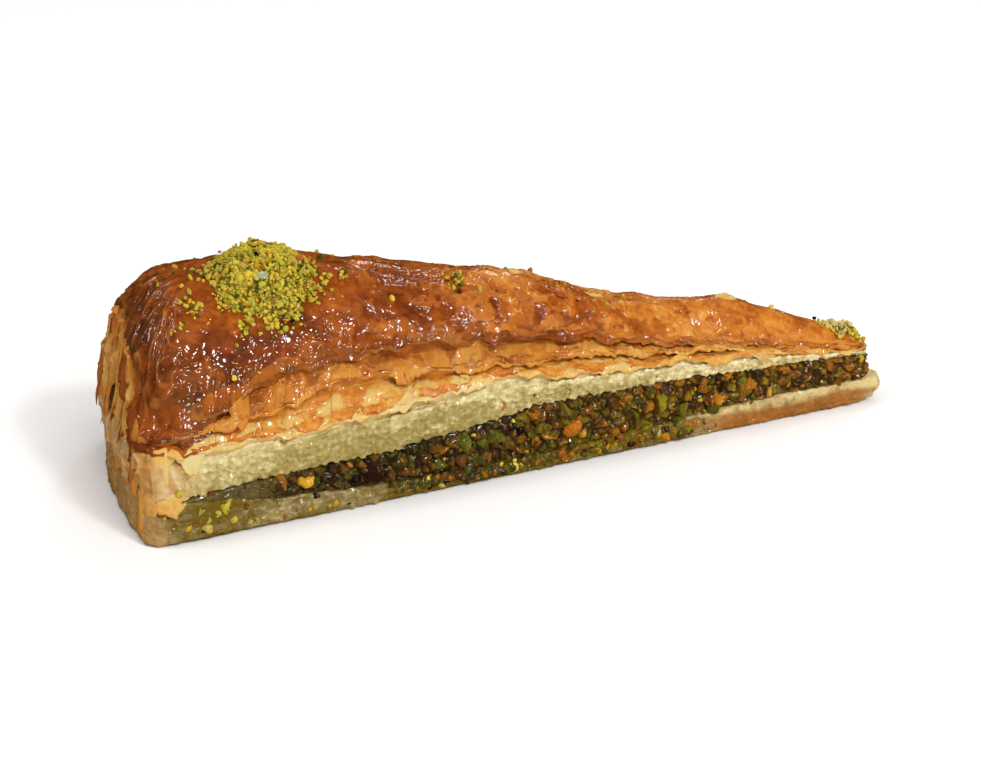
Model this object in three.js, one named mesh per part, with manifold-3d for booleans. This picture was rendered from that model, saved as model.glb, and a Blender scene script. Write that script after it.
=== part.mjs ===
// A "carrot slice" of pistachio baklava: a long, thin wedge cut from a round tray.
// A thin stack of syrup-soaked sheets carries a layer of chopped pistachio. A tall, puffed
// stack of sheets lies on it, its upper sheets opening into terraces under a browned skin.
// A heap of ground pistachio lies on top near the wide end, and a pinch of it at the tip.
//
// Millimetres, +Z up. +X runs along the wedge from its wide heel to its tip, and the piece
// rests on z = 0 with the origin under the middle of its box.
import * as THREE from 'three';
import { mergeVertices } from 'three/addons/utils/BufferGeometryUtils.js';
import Module from 'manifold-3d';

const wasm = await Module();
wasm.setup();

// ---------------------------------------------------------------- driving dimensions

const HEEL_X = -83.6; // middle of the wide end, which follows the tray's wall
const TRAY_RADIUS = 115;
const HEEL_HALF_WIDTH = 28.6; // between the two cuts at the heel
const TIP_X = 83.6; // tip of the lower stack
const TIP_HALF_WIDTH = 3.6;
const UPPER_TIP_X = 79.8; // the upper stack and the filling stop a little sooner
const FILLING_TIP_X = 80.8;
const TIP_ROUNDING = 3.4; // length of the rounded end
const CORNER_RADIUS = 3.4; // where a cut meets the tray's wall
const SPINE_START_X = -63; // the crest runs from here ...
const SPINE_SETBACK = 6.5; // ... to this far before the tip

const GAP = 0.3; // clearance between pieces that lie on each other
const BASE_CHAMFER = 0.5; // soft lower edge of the pastry
const TIP_CURL = 1.9; // rise of the lower stack's underside at the tip

// Heights above the table at places along the wedge: [x, z].
const FILLING_FLOOR = [[-84, 7.4], [-60, 6.4], [-34, 4.3], [0, 3.8], [50, 5.8], [84, 5.8]];
const FILLING_ROOF = [[-84, 8.6], [-58, 9.9], [-20, 11.4], [6, 14.3], [50, 12.8], [84, 11.4]];
const DENSE_TOP = [[-84, 18.4], [-58, 17.8], [-17, 21], [8, 20], [40, 17.2], [80, 12.1]];
const SHEET_EDGE = [
  [-84, 20.6], [-60, 22.8], [-42, 26.6], [-20, 25.2], [8, 22.6], [40, 18.3], [80, 12.5],
];
const SKIN_EDGE = [
  [-84, 22.6], [-66, 25.4], [-52, 30.4], [-18, 30.2], [12, 25.6], [40, 19.8], [80, 12.9],
];
const CREST = [
  [-84, 40], [-62, 45.4], [-38, 44.4], [-20, 41], [2, 36.2], [12, 33.2], [22, 29.8],
  [38, 26.2], [47, 26.2], [56, 23.3], [66, 18.6], [74, 15.3], [80, 13.2],
];
const HEEL_SKIN_RISE = 13.5; // how much higher the skin's edge is in the middle of the heel

// How far the terraces stand in from the cut: [x, inset].
const DENSE_INSET = [[-84, 0.5], [84, 0.3]];
const SHEET_INSET = [[-84, 2], [0, 2.8], [84, 0.8]];
const SKIN_INSET = [[-84, 4.2], [0, 5], [84, 1.3]];
const UNDERCUT = 0.8; // how far the dense block's lower edge stands in over the filling
const LIP = 1.5; // how far a sheet's edge stands out over the groove below it
const LIP_DROP = 1.25; // height of that groove
const RUFFLE_PITCH = [4.3, 12]; // fine and wide waves of a sheet's edge
const RUFFLE_DEPTH = [0.8, 0.6];
const GAPE_X = [-26, 14]; // where the sheets gape on the near and the far cut
const GAPE_LENGTH = 8;
const CUT_PITCH = [5, 2.2]; // unevenness of a cut face, along it and up it
const CUT_DEPTH = 0.4;
const FOLD_PITCH = [3.2, 18]; // upright folds that the tray's wall leaves on the heel
const FOLD_DEPTH = 0.9;
const HEEL_GAPE = 0.35; // the grooves are nearly shut at the heel
const TERRACE_REACH = 11; // the terraces shrink where the crest is nearer than this

// The domed skin.
const SKIN_SHARES = [0.09, 0.2, 0.34, 0.5, 0.68, 0.85]; // where its rings lie, from edge to crest
const DOME_POWERS = [2.3, 0.74]; // full shoulders, then a steep side
const BLISTER_PITCH = [9, 6.5];
const BLISTER_HEIGHT = 0.8;
const CREASE_PITCH = [4.2, 3.6];
const CREASE_HEIGHT = 0.5;

// Pistachio.
const FILLING_HEEL_X = -73; // the filling stops short of the tray's wall
const CHOP_SIZE = [1.2, 2.2]; // half sizes of the chopped nuts that show at the cuts
const CHOP_SPACING = 4;
const CORE_INSET = [2.1, 0.5]; // the core stands this far in from the cuts, give or take this
const CORE_THINNING = 0.15; // the nuts reach this much nearer to the stacks than the core
const HEAP = { centre: [-52.5, -4.6], radii: [11.4, 11.4], height: 3.4, grains: 82 };
const PINCH = { centre: [73.4, 0.2], radii: [4.6, 2], height: 0.7, grains: 11 }; // at the tip
const GRAIN_SIZE = [0.75, 1.3]; // half sizes of the ground nuts
const LOOSE_GRAINS = 14; // stray grains that stick to the skin
const SLOPE_CROWDING = 0.3; // more grains on the near side, where the skin slopes
const SHUFFLE = 23; // stride that spreads large and small grains over a mound
const DENTS = [0.78, 1.3]; // how far a bit's corners stand from its middle
const STRETCH = [[0.95, 1.4], [0.8, 1], [0.65, 0.95]]; // a bit's length, width and height

// How many steps each run of the outline takes.
const UPPER_CUT_STEPS = 38;
const LOWER_CUT_STEPS = 28;
const FILLING_CUT_STEPS = 24;
const TIP_STEPS = 5;
const CORNER_STEPS = 3;
const HEEL_STEPS = 17;

// ---------------------------------------------------------------- small tools

/** A seeded stream of numbers from 0 to 1. */
function randomStream(seed) {
  let state = seed;
  return () => {
    state = (state + 0x6d2b79f5) | 0;
    let mixed = Math.imul(state ^ (state >>> 15), 1 | state);
    mixed = (mixed + Math.imul(mixed ^ (mixed >>> 7), 61 | mixed)) ^ mixed;
    return ((mixed ^ (mixed >>> 14)) >>> 0) / 4294967296;
  };
}

/** A number from low to high taken from a stream. */
const between = (random, low, high) => low + (high - low) * random();

/** The fixed number, from -1 to 1, that belongs to a lattice point. */
function latticeValue(i, j, seed) {
  let mixed = Math.imul(i, 374761393) + Math.imul(j, 668265263) + Math.imul(seed, 974711);
  mixed = Math.imul(mixed ^ (mixed >>> 13), 1274126177);
  return (((mixed ^ (mixed >>> 16)) >>> 0) / 4294967296) * 2 - 1;
}

/** Smooth noise from -1 to 1 over a plane whose lattice step is 1. */
function noise(u, v, seed) {
  const i = Math.floor(u);
  const j = Math.floor(v);
  const a = THREE.MathUtils.smoothstep(u - i, 0, 1);
  const b = THREE.MathUtils.smoothstep(v - j, 0, 1);
  const low = THREE.MathUtils.lerp(latticeValue(i, j, seed), latticeValue(i + 1, j, seed), a);
  const high = THREE.MathUtils.lerp(latticeValue(i, j + 1, seed), latticeValue(i + 1, j + 1, seed), a);
  return THREE.MathUtils.lerp(low, high, b);
}

/** The smooth curve through a list of [x, value] places, read at x. */
function along(places, x) {
  const last = places.length - 1;
  if (x <= places[0][0]) return places[0][1];
  if (x >= places[last][0]) return places[last][1];
  const k = places.findIndex((place) => place[0] > x) - 1;
  const slope = (n) => {
    const before = places[Math.max(n - 1, 0)];
    const after = places[Math.min(n + 1, last)];
    return (after[1] - before[1]) / (after[0] - before[0]);
  };
  const [x0, z0] = places[k];
  const [x1, z1] = places[k + 1];
  const width = x1 - x0;
  const t = (x - x0) / width;
  const rise = t * t * (3 - 2 * t);
  return z0 + (z1 - z0) * rise + width * (slope(k) * t * (1 - t) ** 2 - slope(k + 1) * t * t * (1 - t));
}

/** A manifold solid from a geometry, its shared corners merged and its collapsed faces dropped. */
function solidOf(geometry) {
  const bare = new THREE.BufferGeometry().setAttribute('position', geometry.getAttribute('position'));
  bare.setIndex(geometry.index);
  const merged = mergeVertices(bare, 1e-3);
  const corners = merged.index.array;
  const faces = [];
  for (let i = 0; i < corners.length; i += 3) {
    const [a, b, c] = [corners[i], corners[i + 1], corners[i + 2]];
    if (a !== b && b !== c && a !== c) faces.push(a, b, c);
  }
  return new wasm.Manifold(new wasm.Mesh({
    numProp: 3,
    vertProperties: new Float32Array(merged.getAttribute('position').array),
    triVerts: new Uint32Array(faces),
  }));
}

/** A geometry with flat-ready positions from a manifold solid. */
function geometryOf(solid) {
  const mesh = solid.getMesh();
  const positions = new Float32Array(mesh.numVert * 3);
  for (let i = 0; i < mesh.numVert; i++) {
    positions.set(mesh.vertProperties.subarray(i * mesh.numProp, i * mesh.numProp + 3), i * 3);
  }
  const geometry = new THREE.BufferGeometry();
  geometry.setAttribute('position', new THREE.BufferAttribute(positions, 3));
  geometry.setIndex(new THREE.BufferAttribute(new Uint32Array(mesh.triVerts), 1));
  geometry.computeVertexNormals();
  return geometry;
}

/** The largest connected piece of a solid. Loose scraps that a cut leaves are dropped. */
function largestPiece(solid) {
  return solid.decompose().reduce((best, piece) => (piece.volume() > best.volume() ? piece : best));
}

/** Joins a list of solids two by two, so that each step stays small. */
function joinAll(solids) {
  let round = solids;
  while (round.length > 1) {
    const next = [];
    for (let i = 0; i < round.length; i += 2) {
      next.push(i + 1 < round.length ? round[i].add(round[i + 1]) : round[i]);
    }
    round = next;
  }
  return round[0];
}

// ---------------------------------------------------------------- the wedge's outline

/** Half the distance between the cuts at x. */
const halfWidth = (x) => THREE.MathUtils.mapLinear(x, HEEL_X, TIP_X, HEEL_HALF_WIDTH, TIP_HALF_WIDTH);

/** The tray's wall, which bounds the heel. */
const wallX = (y) => HEEL_X + TRAY_RADIUS - Math.sqrt(TRAY_RADIUS ** 2 - y ** 2);

/**
 * The outline from above of a stack that ends at tipX, once round, with each cut in steps.
 * Each place has its point on the cut or the tray's wall, and the point of the crest that
 * it faces. The two cuts face the same crest points, so surfaces that close there meet.
 */
function outlinePlaces(tipX, cutSteps) {
  const places = [];
  const cutStart = wallX(HEEL_HALF_WIDTH) + CORNER_RADIUS;
  const cutEnd = tipX - TIP_ROUNDING;
  const spineEnd = tipX - SPINE_SETBACK;
  const cutPlace = (k, side) => {
    const share = k / (cutSteps - 1);
    const x = THREE.MathUtils.lerp(cutStart, cutEnd, share);
    const crestX = THREE.MathUtils.lerp(SPINE_START_X, spineEnd, share);
    places.push({ x, y: side * halfWidth(x), crestX, end: 'cut', side });
  };
  const tipPlace = (angle) => {
    const x = cutEnd + TIP_ROUNDING * Math.cos(angle);
    const y = halfWidth(cutEnd) * Math.sin(angle);
    places.push({ x, y, crestX: spineEnd, end: 'tip', side: Math.sign(angle) });
  };
  const heelPlace = (x, y) => {
    places.push({ x, y, crestX: SPINE_START_X, end: 'heel', side: Math.sign(y) });
  };
  const cornerY = halfWidth(cutStart) - CORNER_RADIUS;
  const cornerPlace = (turn, side) => {
    const x = wallX(cornerY) + CORNER_RADIUS * (1 - Math.sin(turn));
    heelPlace(x, side * (cornerY + CORNER_RADIUS * Math.cos(turn)));
  };
  const quarter = Math.PI / 2;
  for (let k = 0; k < cutSteps; k++) cutPlace(k, -1);
  for (let k = 1; k < TIP_STEPS; k++) tipPlace(quarter * ((2 * k) / TIP_STEPS - 1));
  for (let k = cutSteps - 1; k >= 0; k--) cutPlace(k, 1);
  for (let k = 1; k < CORNER_STEPS; k++) cornerPlace((quarter * k) / CORNER_STEPS, 1);
  for (let k = 0; k <= HEEL_STEPS; k++) {
    const y = cornerY * (1 - (2 * k) / HEEL_STEPS);
    heelPlace(wallX(y), y);
  }
  for (let k = CORNER_STEPS - 1; k > 0; k--) cornerPlace((quarter * k) / CORNER_STEPS, -1);
  let run = 0;
  places.forEach((place, n) => {
    const before = places[Math.max(n - 1, 0)];
    run += Math.hypot(place.x - before.x, place.y - before.y);
    place.run = run;
    place.reach = Math.hypot(place.crestX - place.x, place.y);
  });
  return places;
}

const LOWER_OUTLINE = outlinePlaces(TIP_X, LOWER_CUT_STEPS);
const FILLING_OUTLINE = outlinePlaces(FILLING_TIP_X, FILLING_CUT_STEPS);
const UPPER_OUTLINE = outlinePlaces(UPPER_TIP_X, UPPER_CUT_STEPS);

/** The point that stands a distance in from the outline, on the way to the crest. */
function stepIn(place, inset, z) {
  const share = Math.min(inset / place.reach, 1);
  return new THREE.Vector3(
    THREE.MathUtils.lerp(place.x, place.crestX, share),
    THREE.MathUtils.lerp(place.y, 0, share),
    z,
  );
}

/**
 * A closed solid from rings that run round the outline, from the lowest to the highest.
 * The first and last rings lie on the crest line, where the two sides meet.
 */
function loft(rings) {
  const around = rings[0].length;
  const positions = rings.flat().flatMap((point) => [point.x, point.y, point.z]);
  const faces = [];
  for (let row = 0; row + 1 < rings.length; row++) {
    for (let k = 0; k < around; k++) {
      const a = row * around + k;
      const b = row * around + ((k + 1) % around);
      const c = b + around;
      const d = a + around;
      if ((row + k) % 2) faces.push(a, b, c, a, c, d);
      else faces.push(a, b, d, b, c, d);
    }
  }
  const geometry = new THREE.BufferGeometry();
  geometry.setAttribute('position', new THREE.Float32BufferAttribute(positions, 3));
  geometry.setIndex(faces);
  return solidOf(geometry);
}

/** One ring of a loft: each place's inset and height come from functions of the place. */
function ring(places, insetOf, heightOf) {
  return places.map((place) => stepIn(place, insetOf(place), heightOf(place)));
}

/** A ring that has closed in on the crest line. */
function crestRing(places, heightOf) {
  return places.map(({ crestX }) => new THREE.Vector3(crestX, 0, heightOf(crestX)));
}

// ---------------------------------------------------------------- pastry

/** Roof of the bottom pastry: it meets the upper pastry where the filling stops. */
function bottomRoof(x) {
  const filled = THREE.MathUtils.smoothstep(x, FILLING_HEEL_X - 4, FILLING_HEEL_X + 20);
  return THREE.MathUtils.lerp(along(FILLING_ROOF, x) - GAP, along(FILLING_FLOOR, x) - GAP, filled);
}

/** Unevenness of a side: the knife's pull on the cuts, upright folds on the heel. */
function sideRelief(place, z, seed) {
  const [pitch, depth] = place.end === 'heel' ? [FOLD_PITCH, FOLD_DEPTH] : [CUT_PITCH, CUT_DEPTH];
  return depth * (noise(place.run / pitch[0], z / pitch[1], seed) + 1);
}

/** The lower stack of sheets. Its underside is flat but for the tip, which curls up. */
function bottomPastry() {
  const places = LOWER_OUTLINE;
  const base = (x) => TIP_CURL * THREE.MathUtils.smoothstep(x, TIP_X - 9, TIP_X) ** 2;
  const roof = (place) => bottomRoof(place.x);
  const side = (z, share) => (place) => share * sideRelief(place, z, 3);
  return loft([
    crestRing(places, () => 0),
    ring(places, () => BASE_CHAMFER, (place) => base(place.x)),
    ring(places, side(0, 0.4), (place) => base(place.x) + BASE_CHAMFER),
    ring(places, side(5, 0.7), (place) => roof(place) * 0.6),
    ring(places, (place) => BASE_CHAMFER + side(9, 0.7)(place), roof),
    crestRing(places, bottomRoof),
  ]);
}

/** Height of an edge at a place, with the climb over the middle of the heel. */
function edgeHeight(edge, place, heelRise) {
  const across = place.end === 'heel' ? Math.min(Math.abs(place.y) / (HEEL_HALF_WIDTH - 2), 1) : 1;
  return along(edge, place.x) + heelRise * (1 - across ** 2);
}

/** Blisters and creases of the browned skin. */
function skinRelief(x, y) {
  const blisters = noise(x / BLISTER_PITCH[0], y / BLISTER_PITCH[1], 11);
  const creases = noise(x / CREASE_PITCH[0] + y / BLISTER_PITCH[0], y / CREASE_PITCH[1], 12);
  return BLISTER_HEIGHT * blisters + CREASE_HEIGHT * creases;
}

/** A point of the skin: share 0 is its edge and share 1 the crest. */
function skinPoint(place, share) {
  const edge = edgeHeight(SKIN_EDGE, place, HEEL_SKIN_RISE);
  const crest = along(CREST, place.crestX);
  const inset = along(SKIN_INSET, place.x);
  const point = stepIn(place, inset + (place.reach - inset) * share, 0);
  const bulge = (1 - (1 - share) ** DOME_POWERS[0]) ** DOME_POWERS[1];
  point.z = edge + (crest - edge) * bulge + skinRelief(point.x, point.y) * Math.min(share * 4, 1);
  return point;
}

/** How wide open the grooves are at a place: they gape near the middle of each cut. */
function gape(place) {
  if (place.end === 'heel') return HEEL_GAPE;
  const centre = place.side < 0 ? GAPE_X[0] : GAPE_X[1];
  return 1 + Math.exp(-(((place.x - centre) / GAPE_LENGTH) ** 2));
}

/** One sheet's edge: a groove under it, its lip that stands out, and the run up behind it. */
function terrace(edge, insets, heelRise, seed) {
  const places = UPPER_OUTLINE;
  const ruffle = (place) => {
    const fine = noise(place.run / RUFFLE_PITCH[0], seed, seed);
    const wide = noise(place.run / RUFFLE_PITCH[1], seed, seed + 1);
    return RUFFLE_DEPTH[0] * fine + RUFFLE_DEPTH[1] * wide;
  };
  const slack = (place) => Math.min(1, place.reach / TERRACE_REACH);
  const inset = (place) => {
    const folds = place.end === 'heel' ? sideRelief(place, heelRise, 5) : 0;
    return Math.max(0.1, along(insets, place.x) + ruffle(place) * slack(place) + folds);
  };
  const height = (place) => edgeHeight(edge, place, heelRise) + 0.5 * ruffle(place);
  const grooveInset = (place) => inset(place) + LIP * slack(place) * Math.min(gape(place), 1);
  const grooveHeight = (place) => height(place) - LIP_DROP * gape(place) * slack(place);
  const backInset = (place) => inset(place) + 0.5 * slack(place);
  const backHeight = (place) => height(place) + 0.8 * slack(place);
  return [
    ring(places, grooveInset, grooveHeight),
    ring(places, inset, height),
    ring(places, backInset, backHeight),
  ];
}

/** The tall upper stack: a dense cut block, open terraces above it, and the domed skin. */
function upperPastry() {
  const places = UPPER_OUTLINE;
  const floor = (x) => along(FILLING_ROOF, x);
  const denseRing = (share) => ring(
    places,
    (place) => sideRelief(place, share * 10, 5),
    (place) => THREE.MathUtils.lerp(floor(place.x), along(DENSE_TOP, place.x), share),
  );
  return loft([
    crestRing(places, floor),
    ring(places, (place) => UNDERCUT + sideRelief(place, 0, 5), (place) => floor(place.x)),
    ...[0.2, 0.5, 0.8].map(denseRing),
    ...terrace(DENSE_TOP, DENSE_INSET, 0, 21),
    ...terrace(SHEET_EDGE, SHEET_INSET, HEEL_SKIN_RISE / 2, 31),
    ...terrace(SKIN_EDGE, SKIN_INSET, HEEL_SKIN_RISE, 41),
    ...SKIN_SHARES.map((share) => places.map((place) => skinPoint(place, share))),
    places.map((place) => skinPoint({ ...place, x: place.crestX, y: 0 }, 1)),
  ]);
}

// ---------------------------------------------------------------- pistachio

/** A rough bit of nut: a block whose corners are dented, then stretched and turned. */
function nutBit(random, centre, halfSize) {
  const side = 2 / Math.sqrt(3); // its corners stand 1 from its middle
  const block = new THREE.BoxGeometry(side, side, side);
  const bare = new THREE.BufferGeometry().setAttribute('position', block.getAttribute('position'));
  const bit = mergeVertices(bare.setIndex(block.index));
  const corner = new THREE.Vector3();
  const position = bit.getAttribute('position');
  for (let i = 0; i < position.count; i++) {
    corner.fromBufferAttribute(position, i).multiplyScalar(between(random, ...DENTS));
    position.setXYZ(i, corner.x, corner.y, corner.z);
  }
  const stretch = new THREE.Vector3(...STRETCH.map((range) => between(random, ...range)));
  const turn = new THREE.Euler(...[1, 2, 3].map(() => between(random, 0, 2 * Math.PI)));
  const placed = new THREE.Matrix4().compose(
    centre,
    new THREE.Quaternion().setFromEuler(turn),
    stretch.multiplyScalar(halfSize),
  );
  return solidOf(bit.applyMatrix4(placed));
}

/** Underside and upper side of the filling, a little clear of the stacks. */
const fillingFloor = (x) => bottomRoof(x) + GAP;
const fillingRoof = (x) => along(FILLING_ROOF, x) - GAP;

/** The space between the two stacks, open at the cuts: a band that follows both stacks. */
function fillingSpace() {
  const steps = 36;
  const reach = HEEL_HALF_WIDTH + 5;
  const positions = [];
  const faces = [];
  for (let k = 0; k <= steps; k++) {
    const x = THREE.MathUtils.lerp(FILLING_HEEL_X - 3, TIP_X + 4, k / steps);
    for (const y of [-reach, reach]) positions.push(x, y, fillingFloor(x), x, y, fillingRoof(x));
    if (k === 0) continue;
    const [a, b] = [k * 4 - 4, k * 4];
    for (const [p, q] of [[0, 2], [2, 3], [3, 1], [1, 0]]) {
      faces.push(a + p, a + q, b + q, a + p, b + q, b + p);
    }
  }
  faces.push(0, 1, 3, 0, 3, 2);
  const end = steps * 4;
  faces.push(end, end + 2, end + 3, end, end + 3, end + 1);
  const geometry = new THREE.BufferGeometry();
  geometry.setAttribute('position', new THREE.Float32BufferAttribute(positions, 3));
  geometry.setIndex(faces);
  return solidOf(geometry);
}

/** Evenly spread places along both cuts and round the tip for the nuts that show there. */
function choppedPlaces(random) {
  const wanted = [];
  const places = outlinePlaces(FILLING_TIP_X, Math.round((FILLING_TIP_X - HEEL_X) / CHOP_SPACING));
  for (const place of places) {
    if (place.end === 'heel' || place.x < FILLING_HEEL_X + 2) continue;
    const low = fillingFloor(place.x);
    const high = fillingRoof(place.x);
    const rows = Math.max(1, Math.round((high - low) / CHOP_SPACING));
    for (let row = 0; row < rows; row++) {
      const z = THREE.MathUtils.lerp(low, high, (row + between(random, 0.3, 0.7)) / rows);
      wanted.push(stepIn(place, between(random, 1.2, 2.4), z));
    }
  }
  return wanted;
}

/** The layer of chopped nuts: a thinner core and the nuts that show, kept between the stacks. */
function pistachioFilling() {
  const random = randomStream(7);
  const places = FILLING_OUTLINE;
  const startX = (x) => Math.max(x, FILLING_HEEL_X);
  const floor = (x) => fillingFloor(startX(x)) + CORE_THINNING;
  const roof = (x) => fillingRoof(startX(x)) - CORE_THINNING;
  const inset = (place) => {
    if (place.end === 'heel') return FILLING_HEEL_X - HEEL_X;
    return CORE_INSET[0] + CORE_INSET[1] * noise(place.run / CHOP_SPACING, 1, 8);
  };
  const side = (heightOf) => ring(places, inset, (place) => heightOf(place.x)).map((point) => {
    point.x = startX(point.x);
    return point;
  });
  const core = loft([crestRing(places, floor), side(floor), side(roof), crestRing(places, roof)]);
  const nuts = choppedPlaces(random).map((centre) => {
    const halfSize = between(random, ...CHOP_SIZE);
    return nutBit(random, centre, halfSize);
  });
  return largestPiece(joinAll([core, ...nuts]).intersect(fillingSpace()));
}

/** Height of a solid's upper side at a point of the plan. */
function heightOn(mesh, x, y) {
  const down = new THREE.Raycaster(new THREE.Vector3(x, y, 100), new THREE.Vector3(0, 0, -1));
  const hit = down.intersectObject(mesh)[0];
  return hit ? hit.point.z : 0;
}

/** The bumpy core of a mound, its upper side a low dome over the skin and its root inside it. */
function moundCore(random, { centre, radii, height }, skin) {
  const steps = Math.round(radii[0] * 1.9);
  const shares = [0.3, 0.55, 0.78, 1];
  const rootDepth = 4;
  const rimDepth = 0.6;
  const surface = (share, angle) => {
    const rim = 0.95 * (1 + 0.14 * noise(angle * 1.6, 1, 61));
    const x = centre[0] + radii[0] * share * rim * Math.cos(angle);
    const y = centre[1] + radii[1] * share * rim * Math.sin(angle);
    const bump = share < 1 ? between(random, -0.3, 0.3) : -rimDepth;
    return [x, y, heightOn(skin, x, y) + height * (1 - share ** 2) + bump];
  };
  const top = surface(0, 0);
  const positions = [...top, top[0], top[1], top[2] - height - rootDepth];
  for (const share of shares) {
    for (let k = 0; k < steps; k++) positions.push(...surface(share, (k / steps) * 2 * Math.PI));
  }
  const faces = [];
  const rimStart = 2 + (shares.length - 1) * steps;
  for (let k = 0; k < steps; k++) {
    const next = (k + 1) % steps;
    faces.push(0, 2 + k, 2 + next, 1, rimStart + next, rimStart + k);
    for (let row = 2; row < rimStart; row += steps) {
      const outer = row + steps;
      faces.push(row + k, outer + k, outer + next, row + k, outer + next, row + next);
    }
  }
  const geometry = new THREE.BufferGeometry();
  geometry.setAttribute('position', new THREE.Float32BufferAttribute(positions, 3));
  geometry.setIndex(faces);
  return solidOf(geometry);
}

/** A mound of ground nuts: its core, and loose grains half sunk in it, the largest first. */
function mound(random, shape, onto, skin) {
  const { centre, radii, grains } = shape;
  const core = moundCore(random, shape, skin);
  const surface = new THREE.Mesh(geometryOf(core));
  const turn = Math.PI * (3 - Math.sqrt(5)); // the golden angle spreads the grains evenly
  const bits = [core];
  for (let n = 0; n < grains; n++) {
    const slot = (n * SHUFFLE) % grains;
    const share = Math.sqrt((slot + 0.5) / grains) * 0.94;
    const evenAngle = slot * turn + between(random, -0.3, 0.3);
    const angle = evenAngle - SLOPE_CROWDING * Math.cos(evenAngle);
    const x = centre[0] + radii[0] * share * Math.cos(angle);
    const y = centre[1] + radii[1] * share * Math.sin(angle);
    const halfSize = THREE.MathUtils.lerp(GRAIN_SIZE[1], GRAIN_SIZE[0], n / grains);
    const z = (heightOn(surface, x, y) || heightOn(skin, x, y)) + 0.3 * halfSize;
    bits.push(nutBit(random, new THREE.Vector3(x, y, z), halfSize));
  }
  return largestPiece(joinAll(bits).subtract(onto.translate(0, 0, GAP)));
}

/** Stray grains that syrup holds on the skin, clear of the mounds. */
function strayGrains(skin) {
  const random = randomStream(23);
  const strays = [];
  while (strays.length < LOOSE_GRAINS) {
    const x = between(random, -74, 20);
    const y = between(random, -0.6, 0.6) * (halfWidth(x) - 5);
    const clear = Math.hypot(x - HEAP.centre[0], y - HEAP.centre[1]) - HEAP.radii[0];
    if (clear < 2.5) continue;
    const centre = new THREE.Vector3(x, y, heightOn(skin, x, y) + 0.1);
    strays.push(nutBit(random, centre, between(random, ...GRAIN_SIZE)));
  }
  return strays;
}

// ---------------------------------------------------------------- assembly

/** Plain looks for each kind of piece. */
const looks = {
  soakedPastry: new THREE.MeshStandardMaterial({ color: 0xc4b077, roughness: 0.4, metalness: 0 }),
  brownedPastry: new THREE.MeshStandardMaterial({ color: 0xb36a26, roughness: 0.25, metalness: 0 }),
  choppedNuts: new THREE.MeshStandardMaterial({ color: 0x5a5a1e, roughness: 0.45, metalness: 0 }),
  groundNuts: new THREE.MeshStandardMaterial({ color: 0xb3a739, roughness: 0.85, metalness: 0 }),
};

/** A named mesh of a solid. */
function piece(name, solid, material) {
  const mesh = new THREE.Mesh(geometryOf(solid), material);
  mesh.name = name;
  return mesh;
}

const lower = bottomPastry();
const upper = upperPastry();
const skin = new THREE.Mesh(geometryOf(upper));
const baklava = new THREE.Group();
baklava.name = 'baklava';
baklava.add(
  piece('bottom_pastry', lower, looks.soakedPastry),
  piece('pistachio_filling', pistachioFilling(), looks.choppedNuts),
  piece('upper_pastry', joinAll([upper, ...strayGrains(skin)]), looks.brownedPastry),
  piece('pistachio_heap', mound(randomStream(17), HEAP, upper, skin), looks.groundNuts),
  piece('tip_pistachio', mound(randomStream(19), PINCH, upper, skin), looks.groundNuts),
);

export default baklava;
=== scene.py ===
"""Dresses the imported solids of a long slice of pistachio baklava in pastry, nuts and syrup.

The slice is a wedge of a round tray. A thin, soaked stack of sheets carries a layer of chopped
pistachio. A tall stack lies on it: a dense cut block, sheets that open above the block like
skirts, and a domed, browned and glazed skin. Ground pistachio lies on the skin.

Lengths are millimetres until a mesh is made, which is in metres. +X runs along the wedge from
its wide heel to its tip, +Y across it and +Z up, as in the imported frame.
"""

import itertools
import logging
import math
from collections.abc import Sequence
from dataclasses import dataclass, field
from enum import Enum

import bmesh
import bpy
import numpy as np
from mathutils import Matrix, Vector
from mathutils.bvhtree import BVHTree


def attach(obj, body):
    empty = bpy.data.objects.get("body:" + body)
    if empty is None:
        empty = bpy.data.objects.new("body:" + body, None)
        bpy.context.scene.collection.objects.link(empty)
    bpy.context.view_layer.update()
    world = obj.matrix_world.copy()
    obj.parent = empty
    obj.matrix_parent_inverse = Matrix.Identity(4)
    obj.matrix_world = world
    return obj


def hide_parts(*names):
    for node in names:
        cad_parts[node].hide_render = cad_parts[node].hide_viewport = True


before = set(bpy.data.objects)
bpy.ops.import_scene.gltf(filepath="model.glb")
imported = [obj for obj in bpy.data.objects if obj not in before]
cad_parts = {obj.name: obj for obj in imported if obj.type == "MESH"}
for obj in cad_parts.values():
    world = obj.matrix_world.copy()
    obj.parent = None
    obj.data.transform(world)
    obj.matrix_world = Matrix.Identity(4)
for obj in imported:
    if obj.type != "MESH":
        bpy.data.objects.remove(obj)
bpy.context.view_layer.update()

LOG = logging.getLogger("baklava")
MM = 0.001  # metres in a millimetre

WELD_GRID = 2000  # steps in a millimetre, to which corners are rounded before they are merged
KEY_SPAN = 1 << 22  # more than the grid's places along any axis
ABOVE = 0.1  # metres over the table, higher than the slice
BESIDE = 0.08  # metres to either side, further out than the cuts
GOLDEN_ANGLE = math.pi * (3 - math.sqrt(5))  # between neighbours that are spread evenly

Curve = tuple[tuple[float, float], ...]
Span = tuple[float, float]
Array = np.ndarray
Draw = np.random.Generator
new_draw = np.random.default_rng
Material = bpy.types.Material
Piece = bpy.types.Object
Tree = bpy.types.NodeTree
Socket = bpy.types.NodeSocket

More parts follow.
